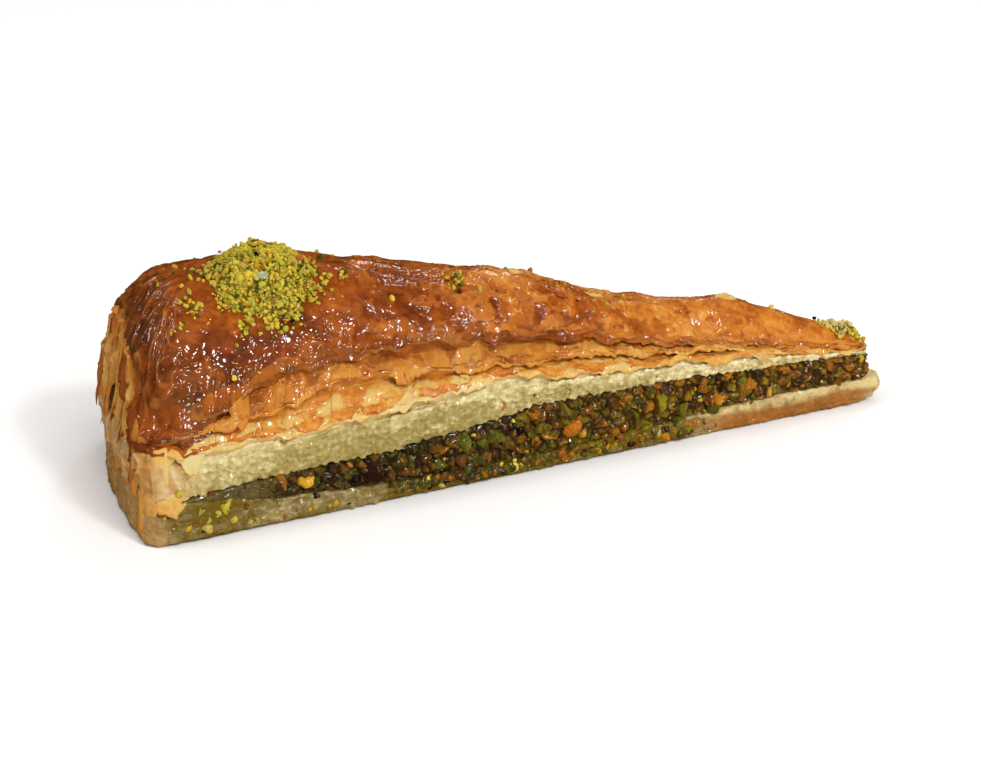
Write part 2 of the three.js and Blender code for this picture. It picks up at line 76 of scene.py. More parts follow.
# Heights above the table at places along the wedge, (x, z): the faces of the layers.
FILLING_FLOOR: Curve = ((-84, 7.4), (-60, 6.4), (-34, 4.3), (0, 3.8), (50, 5.8), (84, 5.8))
FILLING_ROOF: Curve = ((-84, 8.6), (-58, 9.9), (-20, 11.4), (6, 14.3), (50, 12.8), (84, 11.4))
DENSE_TOP: Curve = ((-84, 18.4), (-58, 17.8), (-17, 21), (8, 20), (40, 17.2), (80, 12.1))
SHEET_EDGE: Curve = (
    (-84, 20.6), (-60, 22.8), (-42, 26.6), (-20, 25.2), (8, 22.6), (40, 18.3), (80, 12.5),
)
SKIN_EDGE: Curve = (
    (-84, 22.6), (-66, 25.4), (-52, 30.4), (-18, 30.2), (12, 25.6), (40, 19.8), (80, 12.9),
)
CREST: Curve = (
    (-84, 40), (-62, 45.4), (-38, 44.4), (-20, 41), (2, 36.2), (12, 33.2), (22, 29.8),
    (38, 26.2), (47, 26.2), (56, 23.3), (66, 18.6), (74, 15.3), (80, 13.2),
)


# ---- numbers and noise


def lerp(low: Array | float, high: Array | float, share: Array | float) -> Array | float:
    """Returns the value a share of the way from low to high."""
    return low + (high - low) * share


def rising(value: Array, low: float, high: float) -> Array:
    """Returns 0 below low, 1 above high, and an eased climb between them."""
    t = np.clip((value - low) / (high - low), 0, 1)
    return t * t * (3 - 2 * t)


def fading(value: Array, low: float, high: float) -> Array:
    """Returns 1 below low, 0 above high, and an eased fall between them."""
    return 1 - rising(value, low, high)


def hump(value: Array, centre: float, width: float) -> Array:
    """Returns a soft hump of height 1 round a centre."""
    return np.exp(-(((value - centre) / width) ** 2))


def along(places: Curve, x: Array) -> Array:
    """Reads the smooth curve through some places.

    Args:
        places: The (x, value) places, in order of x.
        x: Where to read it.

    Returns:
        The values at x.
    """
    knots, values = np.array(places, float).T
    last = len(knots) - 1
    x = np.clip(x, knots[0], knots[-1])
    k = np.clip(np.searchsorted(knots, x, side="right") - 1, 0, last - 1)
    before = np.maximum(np.arange(last + 1) - 1, 0)
    after = np.minimum(np.arange(last + 1) + 1, last)
    slope = (values[after] - values[before]) / (knots[after] - knots[before])
    width = knots[k + 1] - knots[k]
    t = (x - knots[k]) / width
    rise = t * t * (3 - 2 * t)
    bend = slope[k] * t * (1 - t) ** 2 - slope[k + 1] * t * t * (1 - t)
    return values[k] + (values[k + 1] - values[k]) * rise + width * bend


def lattice_value(seed: int, *cell: Array) -> Array:
    """Returns the fixed numbers, from -1 to 1, that belong to lattice points."""
    mask = 0xFFFFFFFF
    strides = (374761393, 668265263, 1103515245)
    seed_stride, stirring = 974711, 1274126177
    stirred = (sum(c * s for c, s in zip(cell, strides)) + seed * seed_stride) & mask
    stirred = ((stirred ^ (stirred >> 13)) * stirring) & mask
    return (stirred ^ (stirred >> 16)) / 2**32 * 2 - 1


def noise(seed: int, *places: Array) -> Array:
    """Smooth noise over a line, a plane or space whose lattice step is 1.

    Args:
        seed: Picks the noise.
        places: One array of coordinates for each direction.

    Returns:
        Values from -1 to 1.
    """
    floors = [np.floor(p).astype(np.int64) for p in places]
    eased = [rising(p - f, 0, 1) for p, f in zip(places, floors)]
    total = 0
    for corner in itertools.product((0, 1), repeat=len(places)):
        weight = 1
        for near, ease in zip(corner, eased):
            weight = weight * (ease if near else 1 - ease)
        total = total + weight * lattice_value(seed, *(f + c for f, c in zip(floors, corner)))
    return total


def rough(seed: int, octaves: int, *places: Array) -> Array:
    """Returns noise with finer and fainter noise on it, from about -1 to 1."""
    layers = [0.5**n * noise(seed + n, *(p * 2**n for p in places)) for n in range(octaves)]
    return sum(layers) / (2 - 0.5 ** (octaves - 1))


def creased(seed: int, sharpness: float, *places: Array) -> Array:
    """Returns noise folded into thin ridges, from 0 to 1 at their tops."""
    return (1 - np.abs(noise(seed, *places))) ** sharpness


def cells(seed: int, points: Array) -> tuple[Array, Array, Array]:
    """Scattered cells in space whose mean spacing is 1.

    Args:
        seed: Picks the cells.
        points: Places, in rows of three.

    Returns:
        The distance to the nearest cell's middle, how much further the next one is, and a number
        from 0 to 1 that belongs to the nearest cell.
    """
    base = np.floor(points).astype(np.int64)
    near = np.full(len(points), 9.0)
    second = np.full(len(points), 9.0)
    lot = np.zeros(len(points))
    for offset in itertools.product((-1, 0, 1), repeat=3):
        i, j, k = (base + np.array(offset)).T
        shifts = [lattice_value(seed + axis, i, j, k) for axis in range(3)]
        middle = np.stack([i, j, k], axis=1) + 0.5 + 0.42 * np.stack(shifts, axis=1)
        distance = np.linalg.norm(points - middle, axis=1)
        second = np.minimum(second, np.maximum(near, distance))
        lot = np.where(distance < near, 0.5 + 0.5 * lattice_value(seed + 3, i, j, k), lot)
        near = np.minimum(near, distance)
    return near, second - near, lot


# ---- meshes


def placed(name: str, data: bpy.types.ID) -> Piece:
    """Returns a new object of the scene."""
    piece = bpy.data.objects.new(name, data)
    bpy.context.scene.collection.objects.link(piece)
    return piece


def make_piece(
    name: str,
    points: Array,
    faces: Array,
    finishes: Sequence[Material],
    attributes: dict[str, Array],
    face_finish: Array | None = None,
    smooth: bool = True,
) -> Piece:
    """Makes a piece that rides on the slice.

    Args:
        name: The piece's name.
        points: Its corners in millimetres, in rows of three.
        faces: Its triangles, in rows of three corner numbers.
        finishes: Its materials.
        attributes: Values at the corners that its materials read, one number or one colour each.
        face_finish: Which finish each face has, the first where it is left out.
        smooth: Whether its faces are shaded as one smooth skin.

    Returns:
        The piece.
    """
    mesh = bpy.data.meshes.new(name)
    mesh.vertices.add(len(points))
    mesh.vertices.foreach_set("co", (points * MM).astype(np.float32).ravel())
    mesh.loops.add(faces.size)
    mesh.loops.foreach_set("vertex_index", faces.astype(np.int32).ravel())
    mesh.polygons.add(len(faces))
    mesh.polygons.foreach_set("loop_start", np.arange(0, faces.size, 3, dtype=np.int32))
    if face_finish is not None:
        mesh.polygons.foreach_set("material_index", face_finish.astype(np.int32))
    mesh.update(calc_edges=True)
    mesh.validate()
    if smooth:
        mesh.shade_smooth()
    for title, values in attributes.items():
        if values.ndim == 1:
            layer = mesh.attributes.new(title, "FLOAT", "POINT")
            layer.data.foreach_set("value", values.astype(np.float32))
        else:
            layer = mesh.attributes.new(title, "FLOAT_COLOR", "POINT")
            opaque = np.concatenate([values, np.ones((len(values), 1))], axis=1)
            layer.data.foreach_set("color", opaque.astype(np.float32).ravel())
    for finish in finishes:
        mesh.materials.append(finish)
    piece = placed(name, mesh)
    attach(piece, "root")
    LOG.info("%s: %d triangles", name, len(faces))
    return piece


def ring_faces(rows: int, around: int) -> Array:
    """Triangles of a sleeve of rows, each of which runs once round.

    Args:
        rows: How many rows of corners it has.
        around: How many corners are in a row.

    Returns:
        The triangles, their outer side to the left of a row that runs towards +X on the near cut.
    """
    row, k = np.meshgrid(np.arange(rows - 1), np.arange(around), indexing="ij")
    a = row * around + k
    b = row * around + (k + 1) % around
    c = b + around
    d = a + around
    even = ((row + k) % 2 == 0)[..., None]
    first = np.where(even, np.stack([a, b, d], -1), np.stack([a, b, c], -1))
    other = np.where(even, np.stack([b, c, d], -1), np.stack([a, c, d], -1))
    return np.concatenate([first.reshape(-1, 3), other.reshape(-1, 3)])


def welded(points: Array, faces: Array, attributes: dict[str, Array]) -> tuple[Array, Array, dict]:
    """Merges corners that lie on each other and drops the faces that collapse.

    Args:
        points: The corners, in rows of three.
        faces: The triangles.
        attributes: Values at the corners.

    Returns:
        The corners, faces and attributes that are left.
    """
    keys = np.round(points * WELD_GRID).astype(np.int64)
    packed = (keys[:, 0] * KEY_SPAN + keys[:, 1]) * KEY_SPAN + keys[:, 2]
    _, first, place = np.unique(packed, return_index=True, return_inverse=True)
    faces = place.reshape(-1)[faces]
    a, b, c = faces.T
    faces = faces[(a != b) & (b != c) & (a != c)]
    return points[first], faces, {title: values[first] for title, values in attributes.items()}


def make_sleeve(
    name: str, rows: Array, finishes: Sequence[Material], attributes: dict[str, Array]
) -> Piece:
    """Makes a piece of a sleeve.

    Args:
        name: The piece's name.
        rows: Its corners in rows that run round.
        finishes: Its materials.
        attributes: Values at the corners. One called second is 1 where the second finish goes.

    Returns:
        The piece.
    """
    triangles = ring_faces(*rows.shape[:2])
    points, faces, values = welded(rows.reshape(-1, 3), triangles, attributes)
    second = values.pop("second", None)
    face_finish = None if second is None else second[faces[:, 0]] > 0.5
    return make_piece(name, points, faces, finishes, values, face_finish)


def surface_of(piece: Piece) -> BVHTree:
    """Returns a piece's surface, for rays to hit."""
    return BVHTree.FromObject(piece, bpy.context.evaluated_depsgraph_get())


def height_at(tree: BVHTree, x: float, y: float) -> float | None:
    """Returns the height of a surface at a place of the plan, or None beside it."""
    hit = tree.ray_cast(Vector((x * MM, y * MM, ABOVE)), Vector((0, 0, -1)))[0]
    return hit.z / MM if hit else None


def unit(vectors: Array) -> Array:
    """Returns vectors scaled to length 1, and straight up where they have no length."""
    length = np.linalg.norm(vectors, axis=-1, keepdims=True)
    return np.where(length > 1e-9, vectors / np.maximum(length, 1e-9), (0.0, 0.0, 1.0))


def sleeve_normals(points: Array) -> Array:
    """Returns the outward directions of a sleeve's corners, given in rows that run round it."""
    along_row = np.roll(points, -1, axis=1) - np.roll(points, 1, axis=1)
    return unit(np.cross(along_row, np.gradient(points, axis=0)))


def shell(middle: Array, thickness: Array | float) -> tuple[Array, Array]:
    """Gives a sheet its thickness.

    Args:
        middle: The sheet's places in rows and columns.
        thickness: How thick it is.

    Returns:
        The corners and triangles of the closed shell.
    """
    normal = unit(np.cross(np.gradient(middle, axis=1), np.gradient(middle, axis=0)))
    half = normal * np.asarray(thickness)[..., None] / 2
    rows, columns = middle.shape[:2]
    count = rows * columns
    index = np.arange(count).reshape(rows, columns)
    a, b, c, d = index[:-1, :-1], index[:-1, 1:], index[1:, 1:], index[1:, :-1]
    front = np.concatenate([np.stack(t, -1).reshape(-1, 3) for t in ((a, b, c), (a, c, d))])
    border = np.concatenate([index[0], index[1:, -1], index[-1, -2::-1], index[-2:0:-1, 0]])
    after = np.roll(border, -1)
    first = np.stack([border, border + count, after + count], axis=-1)
    other = np.stack([border, after + count, after], axis=-1)
    points = np.concatenate([(middle + half).reshape(-1, 3), (middle - half).reshape(-1, 3)])
    return points, np.concatenate([front, front[:, ::-1] + count, first, other])


def joined(parts: Sequence[tuple[Array, Array]]) -> tuple[Array, Array]:
    """Returns several meshes' corners and triangles as one mesh."""
    starts = np.cumsum([0] + [len(points) for points, _ in parts])
    faces = [faces + start for (_, faces), start in zip(parts, starts)]
    return np.concatenate([points for points, _ in parts]), np.concatenate(faces)


# ---- the wedge from above


class End(Enum):
    """Which side of the wedge a place of its outline is on."""

    CUT = 0
    TIP = 1
    HEEL = 2


@dataclass(frozen=True)
class Outline:
    """A stack's outline from above, once round from the near heel corner.

    Each place has its point on a cut or the tray's wall, and the point of the crest line that
    it faces, where the surfaces of the two sides meet.
    """

    x: Array
    y: Array
    crest_x: Array
    end: Array
    run: Array
    reach: Array
    heelness: Array
    seam_length: float = 6.0

    def step_in(self, inset: Array, height: Array) -> Array:
        """Returns the points that stand an inset in from the outline at a height."""
        share = np.minimum(inset / self.reach, 1)
        x = lerp(self.x, self.crest_x, share)
        y = lerp(self.y, 0, share)
        return np.stack(np.broadcast_arrays(x, y, height), axis=-1)

    def noise(self, seed: int, pitch: float, *others: float) -> Array:
        """Noise along the outline that closes on itself where the run starts again.

        Args:
            seed: Picks the noise.
            pitch: Length of its waves along the outline.
            others: Further coordinates.

        Returns:
            Values from -1 to 1.
        """
        total = self.run[-1]
        rest = [np.full(len(self.run), float(other)) for other in others]
        late = rising(self.run, total - self.seam_length, total)
        ahead = noise(seed, self.run / pitch, *rest)
        behind = noise(seed, (self.run - total) / pitch, *rest)
        return lerp(ahead, behind, late)

    def side_wave(self, seed: int, z: float) -> Array:
        """Returns how far the knife and the tray's wall leave the side in from the outline."""
        cut = 0.4 * (self.noise(seed, 5, z / 2.2) + 1)
        folds = 0.9 * (self.noise(seed, 3.2, z / 18) + 1)
        return lerp(cut, folds, self.heelness)


@dataclass(frozen=True)
class WedgePlan:
    """The wedge from above: two straight cuts, the tray's wall at the heel and a round tip."""

    heel_x: float = -83.6
    tray_radius: float = 115.0
    heel_half_width: float = 28.6
    tip_x: float = 83.6
    tip_half_width: float = 3.6
    tip_rounding: float = 3.4
    corner_radius: float = 3.4
    spine_start_x: float = -63.0
    spine_setback: float = 6.5

    def half_width(self, x: Array) -> Array:
        """Returns half the distance between the cuts."""
        share = (x - self.heel_x) / (self.tip_x - self.heel_x)
        return lerp(self.heel_half_width, self.tip_half_width, share)

    def wall_x(self, y: Array) -> Array:
        """Returns where the tray's wall is."""
        return self.heel_x + self.tray_radius - np.sqrt(self.tray_radius**2 - y**2)

    def outline(self, tip_x: float, step: float) -> Outline:
        """Walks round the outline of a stack.

        Args:
            tip_x: Where the stack ends.
            step: Distance between places.

        Returns:
            The outline.
        """
        cut_start = self.wall_x(self.heel_half_width) + self.corner_radius
        cut_end = tip_x - self.tip_rounding
        spine_end = tip_x - self.spine_setback
        share = np.linspace(0, 1, round((cut_end - cut_start) / step) + 1)
        cut_x = lerp(cut_start, cut_end, share)
        cut_y = self.half_width(cut_x)
        cut_crest = lerp(self.spine_start_x, spine_end, share)
        tip_y = self.half_width(cut_end)
        angle = np.linspace(-0.5, 0.5, round(math.pi * tip_y / step) + 1)[1:-1] * math.pi
        corner_y = self.half_width(cut_start) - self.corner_radius
        corner_steps = round(math.pi / 2 * self.corner_radius / step)
        turn = np.linspace(0, math.pi / 2, corner_steps + 1)[1:-1]
        corner_x = self.wall_x(corner_y) + self.corner_radius * (1 - np.sin(turn))
        corner_out = corner_y + self.corner_radius * np.cos(turn)
        heel_y = np.linspace(corner_y, -corner_y, round(2 * corner_y / step) + 1)
        round_x = cut_end + self.tip_rounding * np.cos(angle)
        stretches = (
            (cut_x, -cut_y, cut_crest, End.CUT),
            (round_x, tip_y * np.sin(angle), spine_end, End.TIP),
            (cut_x[::-1], cut_y[::-1], cut_crest[::-1], End.CUT),
            (corner_x, corner_out, self.spine_start_x, End.HEEL),
            (self.wall_x(heel_y), heel_y, self.spine_start_x, End.HEEL),
            (corner_x[::-1], -corner_out[::-1], self.spine_start_x, End.HEEL),
        )
        x, y = (np.concatenate([stretch[k] for stretch in stretches]) for k in (0, 1))
        crest = np.concatenate([facing + 0 * places for places, _, facing, _ in stretches])
        end = np.concatenate([np.full(len(places), kind.value) for places, _, _, kind in stretches])
        run = np.concatenate([[0], np.cumsum(np.hypot(np.diff(x), np.diff(y)))])
        window = round(self.corner_radius / step) | 1
        at_heel = (end == End.HEEL.value).astype(float)
        wrapped = np.concatenate([at_heel[-window:], at_heel, at_heel[:window]])
        heelness = np.convolve(wrapped, np.ones(window) / window, mode="same")[window:-window]
        return Outline(x, y, crest, end, run, np.hypot(crest - x, y), heelness)


PLAN = WedgePlan()


@dataclass(frozen=True)
class Station:
    """A line round a stack that its skin passes through, with the rows that follow it."""

    inset: Array | float
    height: Array | float
    rows: int


def sleeve(outline: Outline, stations: Sequence[Station]) -> tuple[Array, Array, Array]:
    """Runs a skin through stations, softly rounded.

    Args:
        outline: The stack's outline.
        stations: From the lowest to the highest.

    Returns:
        The insets and heights in rows that run round, and each row's level: the number of the
        station below it and the share of the way to the next.
    """
    insets, heights, levels = [], [], []
    zero = np.zeros_like(outline.x)
    for number, (low, high) in enumerate(zip(stations, stations[1:])):
        for share in np.arange(low.rows) / low.rows:
            insets.append(lerp(low.inset, high.inset, share) + zero)
            heights.append(lerp(low.height, high.height, share) + zero)
            levels.append(number + share)
    insets.append(stations[-1].inset + zero)
    heights.append(stations[-1].height + zero)
    levels.append(float(len(stations) - 1))
    return np.array(insets), np.array(heights), np.array(levels)


def softened(rows: Array, passes: int, fixed: int) -> Array:
    """Evens out rows with their neighbours, all but some at the start and the end.

    Args:
        rows: Values in rows.
        passes: How many times.
        fixed: How many rows at either end stay.

    Returns:
        The softened rows.
    """
    soft = rows.copy()
    for _ in range(passes):
        mean = (soft[:-2] + 2 * soft[1:-1] + soft[2:]) / 4
        soft[fixed:-fixed] = mean[fixed - 1 : len(mean) - fixed + 1]
    return soft


# ---- finishes


def linear(colour: str) -> tuple[float, float, float, float]:
    """Returns an sRGB hex colour as linear RGBA."""
    channels = [int(colour[k : k + 2], 16) / 255 for k in (1, 3, 5)]
    bent = [c / 12.92 if c <= 0.04045 else ((c + 0.055) / 1.055) ** 2.4 for c in channels]
    return (*bent, 1.0)


def rgb(colour: str) -> Array:
    """Returns an sRGB hex colour as a linear row of three."""
    return np.array(linear(colour)[:3])


def per_mm(length: float) -> float:
    """Returns the scale of a pattern whose features are a length in millimetres."""
    return 1 / (length * MM)


def add(tree: Tree, kind: str, sockets: dict | None = None, **settings: object) -> bpy.types.Node:
    """Adds a node.

    Args:
        tree: Where it goes.
        kind: Blender's name for its type.
        sockets: Its inputs by name or number, each with a value or with an output to link.
        settings: Its own settings, and as stops the places and colours of a ramp.

    Returns:
        The node.
    """
    node = tree.nodes.new(kind)
    for title, value in settings.items():
        if title != "stops":
            setattr(node, title, value)
            continue
        ramp = node.color_ramp
        while len(ramp.elements) < len(value):
            ramp.elements.new(0.5)
        for element, (position, colour) in zip(ramp.elements, value):
            element.position = position
            element.color = linear(colour)
    for title, value in (sockets or {}).items():
        if isinstance(value, Socket):
            tree.links.new(value, node.inputs[title])
        else:
            node.inputs[title].default_value = value
    return node


def reading(tree: Tree, title: str, output: str = "Fac") -> Socket:
    """Returns the values of a name that a mesh's corners carry."""
    return add(tree, "ShaderNodeAttribute", attribute_name=title).outputs[output]


def mottled(tree: Tree, place: Socket, size_mm: float, detail: float, warp: float = 0) -> Socket:
    """Returns a pattern of soft blotches of a size, with finer ones on them."""
    sockets = {"Vector": place, "Scale": per_mm(size_mm), "Detail": detail, "Distortion": warp}
    return add(tree, "ShaderNodeTexNoise", sockets).outputs["Fac"]


def worked_out(tree: Tree, operation: str, *terms: Socket | float, **settings: bool) -> Socket:
    """Returns what an operation makes of some terms."""
    sockets = dict(enumerate(terms))
    return add(tree, "ShaderNodeMath", sockets, operation=operation, **settings).outputs[0]


def mixed(tree: Tree, share: Socket, first: Socket, other: Socket | tuple) -> Socket:
    """Returns one colour laid over another by a share."""
    sockets = {"Factor": share, 6: first, 7: other}
    return add(tree, "ShaderNodeMix", sockets, data_type="RGBA").outputs[2]


def embossed(
    tree: Tree,
    height: Socket,
    depth_mm: float,
    strength: float = 1.0,
    over: Socket | None = None,
    invert: bool = False,
) -> Socket:
    """Returns a pattern as relief, laid over other relief where that is given."""
    sockets = {"Height": height, "Distance": depth_mm * MM, "Strength": strength}
    if over is not None:
        sockets["Normal"] = over
    return add(tree, "ShaderNodeBump", sockets, invert=invert).outputs[0]


def uneven(tree: Tree, pattern: Socket, low: float, high: float) -> Socket:
    """Returns a noise pattern stretched so that its usual values run from low to high."""
    sockets = {"Value": pattern, "To Min": low, "To Max": high}
    sockets |= {"From Min": 0.3, "From Max": 0.7}
    return add(tree, "ShaderNodeMapRange", sockets).outputs["Result"]


Stops = tuple[tuple[float, str], ...]


def toasted(tree: Tree, stops: Stops, shifts: Sequence[tuple[Socket, float]]) -> Socket:
    """Returns the colour of the toast values at a mesh's corners, shifted by patterns."""
    tone = reading(tree, "toast")
    for pattern, depth in shifts:
        tone = worked_out(tree, "ADD", tone, uneven(tree, pattern, -depth, depth))
    return add(tree, "ShaderNodeValToRGB", {"Fac": tone}, stops=stops).outputs[0]


def blank_material(name: str) -> Material:
    """Returns a new material with an empty node tree."""
    material = bpy.data.materials.new(name)
    material.use_nodes = True
    material.node_tree.nodes.clear()
    return material


def finished(material: Material, sockets: dict) -> Material:
    """Returns the material with its shader, whose inputs are the sockets."""
    tree = material.node_tree
    shader = add(tree, "ShaderNodeBsdfPrincipled", sockets)
    add(tree, "ShaderNodeOutputMaterial", {"Surface": shader.outputs[0]})
    return material


@dataclass(frozen=True)
class BakedPhyllo:
    """Phyllo sheets brushed with butter, baked and glazed with sugar syrup.

    Browning runs from cream through gold to dark caramel. The syrup makes it shine like varnish
    over a finely wrinkled skin full of pinhead blisters. Where a leaf has come loose, air behind
    it turns it to a dull, pale film.
    """

    name: str = "baked_phyllo"
    stops: Stops = (
        (0, "#d9c688"), (0.2, "#dcae5e"), (0.36, "#d2913a"), (0.5, "#c27426"),
        (0.64, "#a35314"), (0.8, "#7c360a"), (1, "#441a04"),
    )
    film_colour: str = "#c88940"
    mottle_mm: float = 4.5
    speck_mm: float = 0.8
    wrinkle_mm: float = 1.1
    wrinkle_depth: float = 0.14
    blister_mm: float = 1.1
    blister_depth: float = 0.05
    roughness: Span = (0.3, 0.46)
    film_dullness: float = 0.25

    def build(self) -> Material:
        """Returns the material. It reads the toast and film values at a mesh's corners."""
        material = blank_material(self.name)
        tree = material.node_tree
        place = add(tree, "ShaderNodeTexCoord").outputs["Object"]
        mottle = mottled(tree, place, self.mottle_mm, 6, 0.7)
        speck = mottled(tree, place, self.speck_mm, 4, 0.4)
        wrinkle = mottled(tree, place, self.wrinkle_mm, 1, 0.5)
        colour = toasted(tree, self.stops, ((mottle, 0.075), (speck, 0.055)))
        patchy = uneven(tree, speck, 0.6, 1.3)
        veil = worked_out(tree, "MULTIPLY", reading(tree, "film"), patchy, use_clamp=True)
        gloss = uneven(tree, mottle, *self.roughness)
        gloss = worked_out(tree, "MULTIPLY_ADD", veil, self.film_dullness, gloss)
        sockets = {"Vector": place, "Scale": per_mm(self.blister_mm)}
        blister = add(tree, "ShaderNodeTexVoronoi", sockets, feature="SMOOTH_F1").outputs["Distance"]
        wrinkled = embossed(tree, wrinkle, self.wrinkle_depth)
        relief = embossed(tree, blister, self.blister_depth, over=wrinkled, invert=True)
        sockets = {
            "Base Color": mixed(tree, veil, colour, linear(self.film_colour)),
            "Roughness": gloss,
            "IOR": 1.46,
            "Specular IOR Level": 0.12,
            "Subsurface Weight": 0.2,
            "Subsurface Radius": (1.0, 0.5, 0.2),
            "Subsurface Scale": 0.9 * MM,
            "Coat Weight": 0.85,
            "Coat Roughness": 0.03,
            "Coat IOR": 1.5,
            "Normal": relief,
            "Coat Normal": relief,
        }
        return finished(material, sockets)


@dataclass(frozen=True)
class SoakedCrumb:
    """Unbrowned phyllo soaked in syrup and cut with a knife.

    The pressed sheets have run together into a pale, slightly green crumb. It is wet and lets
    light in, with torn, rougher and whiter patches and darker ones where syrup stands.
    """

    name: str
    stops: Stops
    browned: str = "#9c5f1e"
    mottle_mm: float = 3.2
    flattening: tuple[float, float, float] = (0.9, 0.9, 1.15)
    grain_mm: float = 0.7
    grain_depth: float = 0.3
    wet_mm: float = 0.8
    wet_depth: float = 0.4

    def build(self) -> Material:
        """Returns the material. It reads the toast and browned values at a mesh's corners."""
        material = blank_material(self.name)
        tree = material.node_tree
        place = add(tree, "ShaderNodeTexCoord").outputs["Object"]
        flat = add(tree, "ShaderNodeMapping", {"Vector": place, "Scale": self.flattening}).outputs[0]
        mottle = mottled(tree, flat, self.mottle_mm, 7, 0.8)
        grain = mottled(tree, place, self.grain_mm, 3, 0.5)
        wet = mottled(tree, place, self.wet_mm, 0)
        colour = toasted(tree, self.stops, ((mottle, 0.06), (grain, 0.07)))
        sockets = {0: linear(self.browned)[:3], 1: uneven(tree, mottle, 1.25, 0.75)}
        brown = add(tree, "ShaderNodeVectorMath", sockets, operation="MULTIPLY").outputs[0]
        sockets = {
            "Base Color": mixed(tree, reading(tree, "browned"), colour, brown),
            "Roughness": uneven(tree, mottle, 0.4, 0.6),
            "IOR": 1.45,
            "Specular IOR Level": 0.12,
            "Subsurface Weight": 0.5,
            "Subsurface Radius": (1.0, 0.85, 0.45),
            "Subsurface Scale": 1.1 * MM,
            "Coat Weight": 1.0,
            "Coat Roughness": 0.06,
            "Normal": embossed(tree, grain, self.grain_depth),
            "Coat Normal": embossed(tree, wet, self.wet_depth),
        }
        return finished(material, sockets)


@dataclass(frozen=True)
class NutFlesh:
    """Pistachio flesh and its papery skin, chopped or ground.

    Chopped and wet with syrup it shines, ground and dry it is matt and mealy. Each bit has its
    own colour, which its corners carry.
    """

    name: str
    roughness: float
    coat: float
    grain_mm: float
    grain_depth: float
    glow_mm: float

    def build(self) -> Material:
        """Returns the material. It reads the tint colour at a mesh's corners."""
        material = blank_material(self.name)
        tree = material.node_tree
        place = add(tree, "ShaderNodeTexCoord").outputs["Object"]
        grain = mottled(tree, place, self.grain_mm, 4)
        # Painted shade: the grain that raises the bumps also darkens the colour in their hollows and
        # lightens their tops.
        sockets = {0: reading(tree, "tint", "Color"), 1: uneven(tree, grain, 0.65, 1.3)}
        sockets = {
            "Base Color": add(tree, "ShaderNodeVectorMath", sockets, operation="MULTIPLY").outputs[0],
            "Roughness": self.roughness,
            "IOR": 1.47,
            "Specular IOR Level": 0.15,
            "Subsurface Weight": 0.5,
            "Subsurface Radius": (1.0, 0.8, 0.3),
            "Subsurface Scale": self.glow_mm * MM,
            "Coat Weight": self.coat,
            "Coat Roughness": 0.05,
            "Normal": embossed(tree, grain, self.grain_depth, 0.9),
        }
        return finished(material, sockets)


# ---- the lower stack


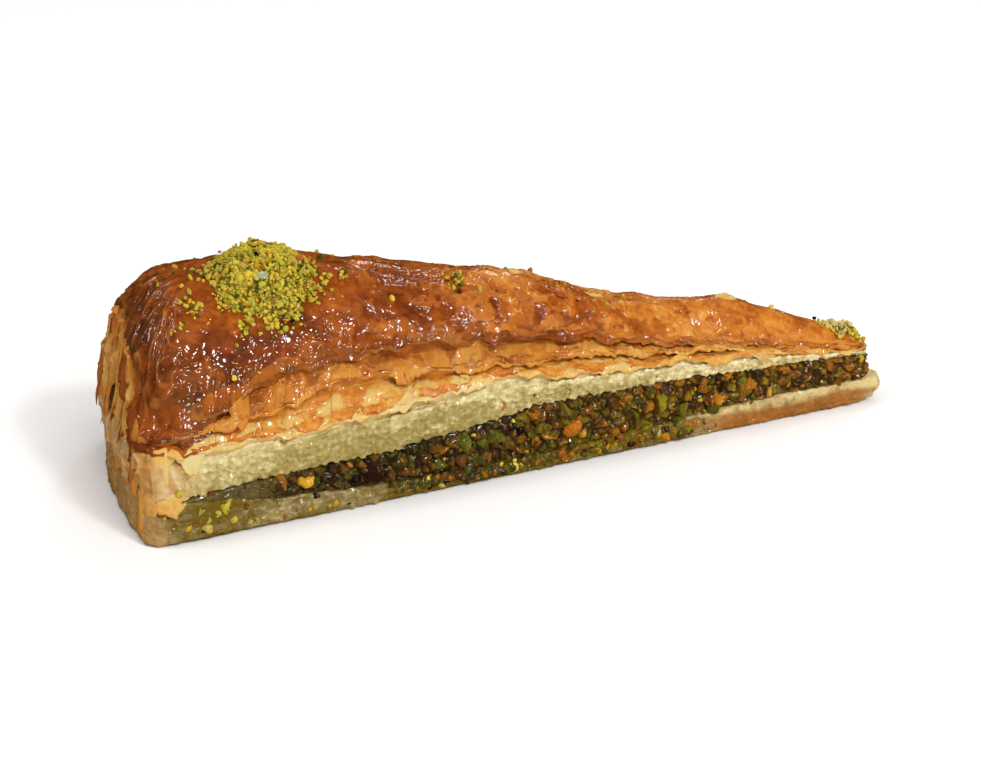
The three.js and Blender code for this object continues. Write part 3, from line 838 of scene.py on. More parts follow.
@dataclass
class LowerStack:
    """The thin stack of soaked sheets underneath, its tip curling up."""

    finish: Material
    step: float = 0.3
    chamfer: float = 0.5
    tip_curl: float = 1.9
    filling_heel_x: float = -73.0
    gap: float = 0.3
    wave_seed: int = 3
    outline: Outline = field(init=False)

    def __post_init__(self) -> None:
        """Walks the outline."""
        self.outline = PLAN.outline(PLAN.tip_x, self.step)

    def roof(self, x: Array) -> Array:
        """Returns the height of the stack's upper side."""
        filled = rising(x, self.filling_heel_x - 4, self.filling_heel_x + 20)
        return lerp(along(FILLING_ROOF, x), along(FILLING_FLOOR, x), filled) - self.gap

    def base(self, x: Array) -> Array:
        """Returns the height of the stack's underside."""
        return self.tip_curl * rising(x, PLAN.tip_x - 9, PLAN.tip_x) ** 2

    def build(self) -> Piece:
        """Builds and dresses the stack, and returns it."""
        place = self.outline
        base, roof = self.base(place.x), self.roof(place.x)
        foot, middle, top = (place.side_wave(self.wave_seed, z) for z in (0, 5, 9))
        stations = [
            Station(place.reach, 0, 2),
            Station(self.chamfer + 0.6, base, 3),
            Station(0.4 * foot, base + self.chamfer, 10),
            Station(0.7 * middle, roof * 0.6, 8),
            Station(0.3 + 0.7 * top, roof - 0.3, 3),
            Station(0.9 + 0.7 * top, roof, 6),
            Station(place.reach, self.roof(place.crest_x), 1),
        ]
        inset, height, level = sleeve(place, stations)
        inset, height = softened(inset, 1, 2), softened(height, 1, 2)
        points = place.step_in(inset, height)
        normal = sleeve_normals(points)
        x, y, z = points.reshape(-1, 3).T
        side = rising(level, 1, 2) * fading(level, 4.6, 5)
        bed = rough(71, 3, x / 6, y / 6, z / 0.8) * 0.22
        near = cells(73, np.stack([x, y, z], axis=1) / 1.5)[0]
        lump = rough(74, 3, x / 1.3, y / 1.3, z / 1.1) * 0.36 + 0.45 * (0.5 - near)
        tear = creased(77, 8, x / 7 + 0.4 * lump, y / 7, z / 1.1) * -0.25
        relief = (bed + lump + tear).reshape(inset.shape) * side[:, None]
        points = points + normal * relief[..., None]
        points[..., 2] = np.maximum(points[..., 2], 0)
        wander = noise(79, x / 6, y / 6, z / 3)
        patchy = rough(82, 3, x / 3, y / 3, z / 2)
        toast = 0.38 - 0.14 * rising(x, 40, 60) - 0.2 * rising(x, 74, 82)
        toast += 0.17 * hump(x, -68, 8)
        toast += 0.12 * patchy
        toast += 0.08 * wander - 0.2 * rising(z, 2.6, 4.6) * rising(x, 20, 50)
        # Painted shade: the relief's hollows are coloured darker and its bumps paler, here and in the stain
        # below.
        toast += 0.08 * fading(z, 0.3, 1.6) * fading(x, 0, 40) - 0.3 * relief.ravel()
        stained = rising(x + 4 * wander, -34, -22) * fading(x + 4 * wander, 26, 38)
        stain = 0.9 - 0.24 * rising(x, -8, 14) - 0.16 * fading(z, 0.4, 2.4)
        toast = lerp(toast, stain + 0.24 * patchy - 0.1 * relief.ravel(), stained)
        browned = rising(x + 3 * wander, 34, 46) * (1 - 0.5 * rising(x, 76, 81))
        browned *= 1 - 0.75 * rising(z + 0.6 * wander, 2.9, 4.4)
        streaks = 0.8 + 0.3 * noise(80, x / 2, y / 1.3, z / 5)
        corner = rising(-x + 1.5 * wander, 74.5, 80)
        browned = np.maximum(browned, streaks * corner)
        toast = lerp(toast, 0.14 + 0.12 * patchy, corner)
        values = {"toast": toast, "browned": np.clip(0.9 * browned, 0, 1)}
        piece = make_sleeve("lower_sheets", points, [self.finish], values)
        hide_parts("bottom_pastry")
        return piece


# ---- bits of nut


def ball(rings: int) -> tuple[Array, Array]:
    """Returns the corners and triangles of an even ball of radius 1, to be cut and dented."""
    shape = bmesh.new()
    bmesh.ops.create_icosphere(shape, subdivisions=rings, radius=1)
    corners = np.array([v.co for v in shape.verts], float)
    faces = np.array([[v.index for v in f.verts] for f in shape.faces])
    shape.free()
    return corners, faces


def turns(draw: Draw, count: int) -> Array:
    """Returns even random rotations as matrices."""
    q = draw.normal(size=(count, 4))
    w, x, y, z = (q / np.linalg.norm(q, axis=1, keepdims=True)).T
    rows = [
        [1 - 2 * (y * y + z * z), 2 * (x * y - w * z), 2 * (x * z + w * y)],
        [2 * (x * y + w * z), 1 - 2 * (x * x + z * z), 2 * (y * z - w * x)],
        [2 * (x * z - w * y), 2 * (y * z + w * x), 1 - 2 * (x * x + y * y)],
    ]
    return np.moveaxis(np.array(rows), -1, 0)


@dataclass(frozen=True)
class BitShape:
    """How bits of nut are broken: their facets, dents and proportions."""

    rings: int
    facets: int
    facet_depth: Span
    dent_pitch: float
    dent_depth: float
    stretch: tuple[tuple[float, float], ...] = ((0.95, 1.35), (0.8, 1.0), (0.65, 0.95))

    def make(self, draw: Draw, centres: Array, sizes: Array) -> tuple[Array, Array, Array]:
        """Makes a bit at each place.

        Args:
            draw: The random draw.
            centres: The places, in rows of three.
            sizes: Each bit's half size.

        Returns:
            The corners, the triangles and each corner's direction from its bit's middle.
        """
        corners, faces = ball(self.rings)
        count = len(centres)
        shape = np.repeat(corners[None], count, axis=0)
        for _ in range(self.facets):
            facing = draw.normal(size=(count, 3))
            facing /= np.linalg.norm(facing, axis=1, keepdims=True)
            depth = draw.uniform(*self.facet_depth, count)
            beyond = np.einsum("nki,ni->nk", shape, facing) - depth[:, None]
            shape -= np.maximum(beyond, 0)[..., None] * facing[:, None]
        shift = draw.uniform(0, 900, (count, 1, 3))
        x, y, z = np.moveaxis(shape / self.dent_pitch + shift, -1, 0)
        shape *= (1 + self.dent_depth * rough(5, 2, x, y, z))[..., None]
        spread = np.stack([draw.uniform(*limits, count) for limits in self.stretch], axis=1)
        shape *= (spread * sizes[:, None])[:, None]
        shape = np.einsum("nij,nkj->nki", turns(draw, count), shape) + centres[:, None]
        numbers = np.arange(count)[:, None, None] * len(corners) + faces[None]
        outward = np.repeat(corners[None], count, axis=0)
        return shape.reshape(-1, 3), numbers.reshape(-1, 3), outward.reshape(-1, 3)


class NutTint(Enum):
    """Colours of pistachio bits."""

    @property
    def rgb(self) -> Array:
        """Returns the linear colour."""
        return rgb(self.value)

    AMBER = "#82500f"
    TOFFEE = "#5a380c"
    YELLOW = "#c4921f"
    STRAW = "#b9a344"
    LEAF = "#59530f"
    OLIVE = "#504a0e"
    MOSS = "#35320c"
    PLUM = "#2c140a"
    BARK = "#180d07"
    SYRUP_AND_SHADE = "#2e1c08"
    ORANGE = "#b0682a"
    MEAL = "#bfa734"
    LIME = "#a39f30"
    RUST = "#a5642a"


AMBER, TOFFEE, YELLOW, STRAW, LEAF, OLIVE, MOSS, PLUM, BARK, SYRUP_AND_SHADE, ORANGE, MEAL, LIME, RUST = NutTint
Mix = tuple[tuple[NutTint, float], ...]


def mix(**shares: float) -> Mix:
    """Returns tints, each with how common it is."""
    return tuple((NutTint[name.upper()], share) for name, share in shares.items())


def tints(draw: Draw, shares: Mix, count: int) -> Array:
    """Draws a colour for each of some bits.

    Args:
        draw: The random draw.
        shares: The tints.
        count: How many bits there are.

    Returns:
        Linear colours, in rows of three, each a little lighter or darker than its tint.
    """
    palette = np.array([tint.rgb for tint, _ in shares])
    weights = np.array([share for _, share in shares])
    chosen = palette[draw.choice(len(palette), count, p=weights / weights.sum())]
    return chosen * draw.uniform(0.75, 1.25, (count, 1)) * draw.uniform(0.93, 1.07, (count, 3))


@dataclass(frozen=True)
class Nut:
    """A large bit of nut that shows at the near cut: its place along and above, size and tint."""

    x: float
    z: float
    half_size: float
    tint: NutTint


@dataclass
class PistachioFilling:
    """The layer of chopped pistachio: dark paste, and the nuts that show in it."""

    lower: LowerStack
    paste: Material
    flesh: Material
    tip_x: float = 80.8
    step: float = 0.3
    core_inset: float = 1.1
    chunk_spacing: float = 2.9
    chunk_size: Span = (0.8, 2.6)
    chip_spacing: float = 1.5
    chip_size: Span = (0.22, 0.6)
    heel_syrup: str = "#6e5f30"
    large: tuple[Nut, ...] = (
        Nut(-48.3, 8, 2.5, YELLOW), Nut(-43, 7.6, 1.9, PLUM), Nut(-41.4, 5.4, 1.2, LEAF),
        Nut(-34.6, 6.2, 2.9, PLUM), Nut(-30.6, 5.9, 2, TOFFEE), Nut(-39.2, 9.2, 1, ORANGE),
        Nut(-28.6, 8.4, 1.3, ORANGE), Nut(-23.5, 7.3, 1.8, AMBER), Nut(-18.8, 8.8, 1.7, AMBER),
        Nut(-16.6, 5.4, 2.1, TOFFEE), Nut(-25.7, 6.9, 1.4, PLUM), Nut(-63.4, 7.8, 1.4, STRAW),
        Nut(-59.6, 7.6, 1.6, PLUM), Nut(-5.8, 6.8, 1.7, LEAF), Nut(0.7, 5.9, 1.8, AMBER),
        Nut(3.3, 8.9, 1.2, LEAF), Nut(11, 6, 1.2, ORANGE), Nut(12.7, 10.6, 1.8, TOFFEE),
        Nut(19.7, 7.4, 1.7, OLIVE), Nut(31.5, 8.3, 1, ORANGE), Nut(38.6, 8, 1, ORANGE),
        Nut(38.7, 10.8, 1.8, TOFFEE), Nut(45.7, 9.5, 1.4, OLIVE), Nut(54.6, 6.9, 1.1, ORANGE),
        Nut(57.6, 8.2, 1.5, TOFFEE), Nut(64.3, 8.6, 1.2, STRAW),
    )
    chunk_mix: Mix = mix(
        amber=6, toffee=5, yellow=0.25, straw=0.4, olive=5, leaf=2, moss=3, plum=2, bark=0.8
    )
    chip_mix: Mix = mix(amber=3, yellow=0.7, straw=0.8, leaf=3, olive=5, moss=5, bark=3, toffee=3, lime=0.4)

    @property
    def heel_x(self) -> float:
        """Returns where the layer starts behind the heel's wall."""
        return self.lower.filling_heel_x

    @staticmethod
    def lightened(tint: Array, x: Array) -> Array:
        """Returns tints made lighter and yellower towards the tip, where less syrup stands."""
        share = rising(x, -14, 18)[:, None]
        gain = lerp(1, np.array((2.1, 1.9, 1.1)), share)
        limit = lerp(1, np.array((0.46, 0.29, 0.08)), share)
        return np.minimum(tint * gain, limit)

    def floor(self, x: Array) -> Array:
        """Returns the height of the layer's underside."""
        return self.lower.roof(np.maximum(x, self.heel_x)) + 0.1

    def ceiling(self, x: Array) -> Array:
        """Returns the height of the layer's upper side."""
        return along(FILLING_ROOF, x) - 0.15

    def build(self) -> list[Piece]:
        """Builds and dresses the layer, and returns its pieces."""
        pieces = [self._paste(), *self._nuts()]
        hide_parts("pistachio_filling")
        return pieces

    def _paste(self) -> Piece:
        """Returns the paste: a band of lumps between the stacks, near black in its hollows."""
        place = PLAN.outline(self.tip_x, self.step)
        heel_inset = self.heel_x - PLAN.heel_x
        olive = fading(place.x, -62, -50)
        inset = self.core_inset + 0.5 * place.noise(8, 4, 1) - 1.1 * olive
        inset = lerp(np.maximum(inset, 0.3), heel_inset, place.heelness)
        low, high = self.floor(place.x), self.ceiling(place.x)
        crest = np.maximum(place.crest_x, self.heel_x)
        stations = [
            Station(place.reach, self.floor(crest), 3),
            Station(inset, low, 24),
            Station(inset + 0.5, high, 3),
            Station(place.reach, self.ceiling(crest), 1),
        ]
        inset, height, level = sleeve(place, stations)
        points = place.step_in(inset, height)
        points[..., 0] = np.maximum(points[..., 0], self.heel_x)
        normal = sleeve_normals(points)
        flat = points.reshape(-1, 3)
        _, gap, lot = cells(31, flat / (2.5, 2.5, 2.1))
        small, crack, other = cells(35, flat / 0.85)
        open_part = np.tile(1 - 0.75 * olive, len(level))
        lump = rising(gap, 0, 0.35) * (0.3 + 0.9 * lot) + 0.25 * (0.6 - small)
        lump += 0.3 * rough(34, 3, *(flat / 1.6).T)
        side = rising(level, 0.9, 1.15) * fading(level, 1.85, 2)
        relief = (lump * open_part).reshape(inset.shape) * side[:, None]
        points = points + normal * relief[..., None]
        kinds = [MOSS, OLIVE, PLUM, LEAF, TOFFEE, AMBER]
        palette = np.array([kind.rgb for kind in kinds])
        tint = palette[np.minimum((lot * len(kinds)).astype(int), len(kinds) - 1)]
        bits = palette[np.minimum((other * len(kinds)).astype(int), len(kinds) - 1)]
        tint = lerp(tint, bits, 0.4)
        # The hollows between lumps are painted near black with the dark syrup colour: syrup and painted
        # shade.
        raised = rising(gap, 0.02, 0.3) * (0.4 + 0.6 * rising(crack, 0, 0.2))
        tint = lerp(0.7 * SYRUP_AND_SHADE.rgb, tint, raised[:, None])
        syrup = rgb(self.heel_syrup) * (0.8 + 0.5 * rough(33, 3, *(flat / 2).T))[:, None]
        tint = self.lightened(lerp(syrup, tint, open_part[:, None]), flat[:, 0])
        return make_sleeve("nut_paste", points, [self.paste], {"tint": tint})

    def _places(self, draw: Draw, spacing: float, depth: Span) -> Array:
        """Spreads places over the faces of the layer.

        Args:
            draw: The random draw.
            spacing: Distance between them.
            depth: How far in from the cuts they may be.

        Returns:
            The places, in rows of three.
        """
        outline = PLAN.outline(self.tip_x, spacing)
        shown = (outline.end != End.HEEL.value) & (outline.x > self.heel_x + 1)
        found = []
        for k in np.flatnonzero(shown):
            low, high = self.floor(outline.x[k]), self.ceiling(outline.x[k])
            rows = max(1, round((high - low) / spacing))
            share = (np.arange(rows) + draw.uniform(0.1, 0.9, rows)) / rows
            inward = draw.uniform(*depth, rows) / outline.reach[k]
            x = lerp(outline.x[k], outline.crest_x[k], inward)
            x = x + draw.uniform(-0.4, 0.4, rows) * spacing
            found.append(np.stack([x, outline.y[k] * (1 - inward), lerp(low, high, share)], axis=1))
        return np.concatenate(found)

    def _nuts(self) -> list[Piece]:
        """Returns the chunks and the smaller chips."""
        draw = new_draw(41)
        chunks = self._places(draw, self.chunk_spacing, (1.3, 2.3))
        marks = np.array([(nut.x, nut.z, nut.half_size) for nut in self.large])
        apart = np.hypot(chunks[:, :1] - marks[:, 0], chunks[:, 2:] - marks[:, 1])
        chunks = chunks[((apart > marks[:, 2] + 0.4) | (chunks[:, 1:2] > 0)).all(axis=1)]
        y = 0.9 + 0.45 * marks[:, 2] - PLAN.half_width(marks[:, 0])
        chunks = np.concatenate([np.stack([marks[:, 0], y, marks[:, 1]], axis=1), chunks])
        chunks[:, 0] = np.minimum(chunks[:, 0], self.tip_x - 2.4)
        sizes = lerp(*self.chunk_size, draw.random(len(chunks)) ** 1.3)
        colours = tints(draw, self.chunk_mix, len(chunks))
        sizes[: len(marks)] = marks[:, 2]
        colours[: len(marks)] = [nut.tint.rgb for nut in self.large]
        chips = self._places(draw, self.chip_spacing, (0.8, 1.7))
        chip_sizes = lerp(*self.chip_size, draw.random(len(chips)) ** 1.5)
        chip_colours = tints(draw, self.chip_mix, len(chips))
        jobs = {
            "nut_chunks": (chunks, sizes, BitShape(3, 8, (0.4, 0.8), 0.6, 0.3), colours, 0.3),
            "nut_chips": (chips, chip_sizes, BitShape(2, 4, (0.5, 0.9), 0.6, 0.2), chip_colours, 0.1),
        }
        pieces = []
        for name, (centres, halves, shape, colour, skinned) in jobs.items():
            points, faces, outward = shape.make(draw, centres, halves)
            low, high = self.floor(points[:, 0]) - 0.5, self.ceiling(points[:, 0]) + 0.6
            points[:, 2] = np.clip(points[:, 2], low, high)
            each = len(points) // len(centres)
            spread = 1 + 0.25 * rough(6, 2, *(centres / 9).T)[:, None]
            tint = np.repeat(colour * spread, each, axis=0)
            facing = unit(draw.normal(size=(len(centres), 3)))
            facing = np.repeat(facing * (draw.random((len(centres), 1)) < skinned), each, axis=0)
            wander = 0.25 * noise(9, *(points / 0.6).T)
            papery = rising((outward * facing).sum(1) + wander, 0.35, 0.55)[:, None]
            tint = lerp(tint, PLUM.rgb, papery * 0.85)
            tint *= (1.04 + 0.4 * rough(10, 3, *(points / 1.3).T))[:, None]
            # Faces that lie deeper behind the cut are painted darker, towards the dark syrup colour:
            # painted shade of the recess.
            depth = PLAN.half_width(points[:, 0]) - np.abs(points[:, 1])
            soaked = rising(depth + 0.4 * noise(7, *(points / 1.4).T), 0.85, 1.9)[:, None]
            tint = lerp(tint, SYRUP_AND_SHADE.rgb, 0.5 * soaked)
            tint = self.lightened(tint, points[:, 0])
            pieces.append(make_piece(name, points, faces, [self.flesh], {"tint": tint}))
        return pieces


@dataclass
class CutCrumbs:
    """Bits of nut that the knife dragged over the soaked sheets of both cuts."""

    surfaces: tuple[BVHTree, ...]
    finish: Material
    count: int = 700
    span: Span = (-77, 74)
    size: Span = (0.16, 0.55)
    heelward: int = 110
    heelward_span: Span = (-77, -46)
    heelward_size: Span = (0.2, 0.9)
    spilled: int = 470
    spill_span: Span = (-31, 40)
    spilled_size: Span = (0.45, 1.4)
    large: tuple[Nut, ...] = (
        Nut(-31, 17.6, 0.85, ORANGE), Nut(-18, 14.6, 0.75, STRAW), Nut(-73.5, 10.5, 1.1, MEAL),
        Nut(-77.1, 7.3, 1.3, AMBER), Nut(-72.2, 3.2, 0.8, YELLOW), Nut(-68.9, 1.9, 1.4, STRAW),
        Nut(-68.2, 3.9, 0.7, LIME), Nut(-66.4, 4.6, 0.5, LIME), Nut(-64.7, 5.8, 1.5, MEAL),
        Nut(-63.8, 8.3, 1.5, STRAW), Nut(-63.3, 3.1, 0.9, MEAL), Nut(-54.2, 5.6, 0.9, STRAW),
        Nut(-49.9, 5.3, 1.3, STRAW), Nut(-46.5, 4, 1, PLUM), Nut(-42.9, 2.1, 0.9, YELLOW),
        Nut(-39.8, 1.4, 0.5, BARK), Nut(-45.7, 10.1, 0.9, ORANGE), Nut(-53, 16.8, 0.5, YELLOW),
        Nut(-7, 16, 0.8, ORANGE),
    )
    shares: Mix = mix(yellow=4, straw=4, lime=3, leaf=2, orange=1.5, amber=2, moss=0.6, plum=0.5)
    spilled_shares: Mix = mix(amber=3, toffee=4, olive=6, leaf=3, straw=0.8, moss=4, plum=2, yellow=0.3)

    def build(self) -> Piece:
        """Builds and dresses the bits, and returns them as one piece."""
        draw = new_draw(67)
        x = draw.uniform(*self.span, self.count)
        z = lerp(0.8, along(DENSE_TOP, x) - 0.5, draw.random(self.count))
        near = draw.random(self.count) < 0.6
        sizes = lerp(*self.size, draw.random(self.count) ** 2)
        fine = slice(0, self.heelward)
        x[fine] = draw.uniform(*self.heelward_span, self.heelward)
        z[fine] = draw.uniform(1.4, 9, self.heelward)
        sizes[fine] = lerp(*self.heelward_size, draw.random(self.heelward) ** 2)
        spill = slice(-self.spilled, None)
        x[spill] = draw.uniform(*self.spill_span, self.spilled)
        z[spill] = draw.uniform(1.0, along(FILLING_FLOOR, x[spill]) + 0.4)
        sizes[spill] = lerp(*self.spilled_size, draw.random(self.spilled) ** 1.6)
        tint = tints(draw, self.shares, self.count)
        spilled = tints(draw, self.spilled_shares, self.spilled)
        tint[spill] = PistachioFilling.lightened(spilled, x[spill])
        for k, nut in enumerate(self.large):
            x[k], z[k], near[k], sizes[k] = nut.x, nut.z, True, nut.half_size
            tint[k] = nut.tint.rgb
        spots = []
        for k in range(self.count):
            side = -1 if near[k] else 1
            start = Vector((x[k] * MM, side * BESIDE, z[k] * MM))
            hits = [tree.ray_cast(start, Vector((0, -side, 0)))[0] for tree in self.surfaces]
            depths = [abs(hit.y) for hit in hits if hit]
            depth = max(depths, default=0) / MM - 0.45 * sizes[k]
            spots.append((x[k], side * depth, max(z[k], 1.35 * sizes[k])))
        shape = BitShape(2, 4, (0.5, 0.9), 0.5, 0.25)
        points, faces, _ = shape.make(draw, np.array(spots), sizes)
        tint = np.repeat(tint, len(points) // self.count, axis=0)
        piece = make_piece("cut_crumbs", points, faces, [self.finish], {"tint": tint})
        return piece


# ---- the upper stack


@dataclass
class Surface:
    """A sleeve with rows at known levels, which leaves and crumbs are laid on."""

    outline: Outline
    points: Array
    normals: Array
    level: Array

    def columns(self, x_span: Span, far: bool) -> Array:
        """Finds the columns of the near or the far cut between two places along the wedge.

        Args:
            x_span: The places. Short of the cut's heel end they go on round the corner.
            far: Whether the far cut is meant.

        Returns:
            The columns, in the order of the outline.
        """
        run, x = self.outline.run, self.outline.x
        cut = np.flatnonzero((self.outline.end == End.CUT.value) & ((self.outline.y > 0) == far))
        slant = abs(run[cut[-1]] - run[cut[0]]) / abs(x[cut[-1]] - x[cut[0]])
        if far:
            span = sorted(run[cut[-1]] + slant * (x[cut[-1]] - value) for value in x_span)
        else:
            span = [run[cut[0]] + slant * (value - x[cut[0]]) for value in x_span]
        first, last = (round(value / run[-1] * (len(run) - 1)) for value in span)
        return np.arange(first, last) % len(run)

    def at(self, level: Array, columns: Array) -> tuple[Array, Array]:
        """Reads the surface.

        Args:
            level: The level of each place, in rows and columns.
            columns: The column of each column of places.

        Returns:
            The places and their outward directions.
        """
        row = np.interp(level, self.level, np.arange(len(self.level)))
        row = np.clip(row, 0, len(self.level) - 1.001)
        low = row.astype(int)
        share = (row - low)[..., None]
        column = np.broadcast_to(columns, level.shape)
        place = lerp(self.points[low, column], self.points[low + 1, column], share)
        facing = lerp(self.normals[low, column], self.normals[low + 1, column], share)
        return place, unit(facing)


@dataclass(frozen=True)
class Leaf:
    """A torn leaf of phyllo that leaves the surface at its root and ends in a free, ragged edge.

    Levels are those of the surface's rows. The leaf hangs on past the level of its edge, and its
    edge stands off the surface by its lift.
    """

    x_span: Span
    root: float
    edge: float
    hang: float
    lift: float
    toast: float
    film: float
    seed: int
    far: bool = False
    fade: float = -0.2
    taper: float = 2.2
    thickness: float = 0.13
    flare: float = 0.3

    def build(self, surface: Surface) -> tuple[Array, Array, Array, Array]:
        """Builds the leaf.

        Args:
            surface: What it lies on.

        Returns:
            Its corners and triangles, and their toast and film values.
        """
        columns = surface.columns(self.x_span, self.far)
        run = np.unwrap(surface.outline.run[columns], period=surface.outline.run[-1])[None]
        across = np.linspace(-1, 1, len(columns))[None]
        wobble = 0.12 * noise(self.seed, run[0] / 2.5)[None]
        body = 1 - np.clip(np.abs(across) + wobble, 0, 1) ** self.taper
        fray = 1 + 0.4 * noise(self.seed + 1, run / 3.2) + 0.22 * noise(self.seed + 2, run / 0.9)
        size = abs(self.root - self.edge) * 3 + self.hang
        t = np.linspace(0, 1, max(7, round(size / 0.3)))[:, None]
        start = lerp(self.edge, self.root, np.clip(body * (0.8 + 0.2 * fray), 0.02, 1))
        place, facing = surface.at(lerp(start, self.edge, t), columns)
        hang = self.hang * np.maximum(fray, 0.1) * body * rising(t, 0.35, 1)
        ripple = 0.16 * noise(self.seed + 3, run / 1.7, t * 2) * t
        lift = (self.lift * np.maximum(fray, 0) * t**1.6 + ripple) * body
        lift = lift - 0.22 * (1 - body) - 0.1 * (1 - t)
        outward = facing * (1, 1, 0)
        place = place + facing * lift[..., None] + outward * (self.flare * hang)[..., None]
        place[..., 2] -= hang
        points, faces = shell(place, self.thickness * (1.15 - 0.6 * t))
        rim = rising(t, 0.8, 1)
        spot = 0.08 * noise(self.seed + 4, run / 2, t * 3)
        toast = self.toast + 0.08 * rim + spot + self.fade * rising(place[..., 0], 0, 45)
        film = self.film * (1 - 0.35 * rim) + 2 * np.abs(spot) * self.film
        return points, faces, np.tile(toast.ravel(), 2), np.tile(film.ravel(), 2)


@dataclass(frozen=True)
class Fringe:
    """A row of leaves along both cuts, all on one tier."""

    root: float
    edge: float
    reach: Span
    length: Span
    overlap: float
    hang: Span
    lift: Span
    toast: Span
    film: Span
    seed: int
    fade: float = -0.2
    end_x: float = 77.0

    def leaves(self) -> list[Leaf]:
        """Returns its leaves, which start at the heel end of either cut."""
        draw = new_draw(self.seed)
        found = []
        for far in (False, True):
            x = self.reach[0]
            while x < self.reach[1]:
                length = draw.uniform(*self.length)
                span = (x, min(x + length, self.end_x))
                root = self.root + draw.uniform(-0.15, 0.15)
                ranges = (self.hang, self.lift, self.toast, self.film)
                looks = [draw.uniform(*limits) for limits in ranges]
                seed = self.seed * 50 + len(found)
                found.append(Leaf(span, root, self.edge, *looks, seed, far, self.fade))
                x += length * (1 - self.overlap)
        return found


class Tier(Enum):
    """Zones of the upper stack: the level at which each begins."""

    CUT_EDGE = 2
    GOLD = 9
    TAN = 13
    SKIN_LIP = 16
    SKIN_TURN = 17
    DOME = 18


@dataclass
class UpperStack:
    """The tall stack: a dense cut block, skirts of sheets above it, and the domed skin."""

    block: Material
    phyllo: Material
    step: float = 0.22
    tip_x: float = 79.8
    undercut: float = 0.8
    lip: float = 1.5
    lip_drop: float = 1.25
    terrace_reach: float = 11.0
    heel_rise: float = 13.5
    skin_inset: Curve = ((-84, 4.2), (0, 5), (84, 1.3))
    sheet_inset: Curve = ((-84, 2), (0, 2.8), (84, 0.8))
    dense_inset: Curve = ((-84, 0.5), (84, 0.3))
    skin_rows: int = 135
    skin_start: float = 0.07
    wave_seed: int = 5
    heel_film_span: Span = (-140, -84)
    fringes: tuple[Fringe, ...] = (
        Fringe(17.6, 16, (-76, 70), (9, 26), 0.3, (0.3, 0.9), (0.2, 0.5), (0.66, 0.84), (0, 0.35), 301),
        Fringe(18.04, 16.6, (-74, 60), (6, 18), 0.2, (0, 0.3), (0.2, 0.5), (0.7, 0.9), (0, 0.2), 302),
        Fringe(13.9, 12.6, (-66, 55), (6, 17), 0.2, (0.1, 0.5), (0.2, 0.5), (0.45, 0.66), (0.1, 0.5), 303),
        Fringe(13.3, 12, (-74, 66), (9, 24), 0.3, (0.3, 1), (0.2, 0.5), (0.42, 0.64), (0, 0.4), 304),
        Fringe(13.98, 13.2, (-20, 62), (5, 12), 0.1, (0.3, 1.1), (0.3, 0.8), (0.4, 0.58), (0.1, 0.5), 305),
        Fringe(9.5, 8, (-77, 70), (5, 15), 0, (0.1, 0.9), (0.15, 0.4), (0.04, 0.24), (0, 0.3), 306, 0.14),
        Fringe(9.9, 9.3, (-72, 40), (4, 11), 0, (0.2, 0.7), (0.2, 0.5), (0.13, 0.28), (0, 0.4), 307, 0),
    )
    lone_leaves: tuple[Leaf, ...] = (
        Leaf((-64.6, -60.4), 16.9, 16, 3.4, 0.7, 0.5, 0.25, 331),
        Leaf((-90, -66), 18, 16, 6.5, 0.6, 0.8, 0.05, 337, taper=2, flare=0.42),
        Leaf((-97, -78), 18, 16, 11, 0.5, 0.76, 0.1, 344, taper=2.4, flare=0.24),
        Leaf((-88, -80.5), 9.6, 8, 8, 0.4, 0.34, 0.3, 340, taper=1.5, flare=0.06),
        Leaf((-83, -76), 9.6, 8, 9, 0.4, 0.24, 0.25, 341, taper=1.5, flare=0.06),
        Leaf((-79.5, -73.5), 9.6, 8, 6.5, 0.3, 0.15, 0.15, 342, taper=1.3, flare=0.06),
        Leaf((-75, -68), 9.6, 8, 4, 0.3, 0.08, 0.1, 345, taper=1.3, flare=0.06),
        Leaf((-86, -77), 3.4, 2, 5, 0.4, 0.4, 0.3, 343, taper=1.5, flare=0.06),
        Leaf((-83, -75.5), 3.4, 2, 3.5, 0.3, 0.3, 0.35, 346, taper=1.5, flare=0.08),
        Leaf((-79, -71.5), 3.2, 2, 2.4, 0.25, 0.2, 0.3, 348, taper=1.4, flare=0.08),
        Leaf((-118, -101), 17.4, 16.2, 0.4, 1.7, 0.5, 0.4, 338),
        Leaf((-90, -79), 13.5, 12, 2.4, 0.5, 0.62, 0.3, 339, taper=2),
        Leaf((-34.5, -21), 13.9, 12, 1.3, 0.8, 0.5, 0.35, 332),
        Leaf((-8, -2.5), 18.84, 18.99, 0, 0.5, 0.2, 0.2, 333, thickness=0.06),
        Leaf((10.5, 16.5), 18.88, 18.99, 0, 0.4, 0.24, 0.2, 334, thickness=0.06),
        Leaf((42.5, 49.5), 18.7, 18.97, 0, 0.4, 0.36, 0.2, 335, thickness=0.06),
        Leaf((47.5, 57.5), 12.5, 12, 0.9, 0.9, 0.25, 0.7, 336),
    )
    outline: Outline = field(init=False)

    def __post_init__(self) -> None:
        """Walks the outline."""
        self.outline = PLAN.outline(self.tip_x, self.step)

    # Stations

    def _edge_height(self, edge: Curve, rise: float) -> Array:
        """Returns the height of a sheet's edge, which climbs over the middle of the heel."""
        place = self.outline
        across = np.minimum(np.abs(place.y) / (PLAN.heel_half_width - 2), 1)
        across = np.where(place.end == End.HEEL.value, across, 1)
        return along(edge, place.x) + rise * (1 - across**2)

    def _gape(self) -> Array:
        """Returns how wide open the grooves are: most near the middle of each cut."""
        place = self.outline
        centre = np.where(place.y < 0, -26, 14)
        return lerp(1 + np.exp(-(((place.x - centre) / 8) ** 2)), 0.35, place.heelness)

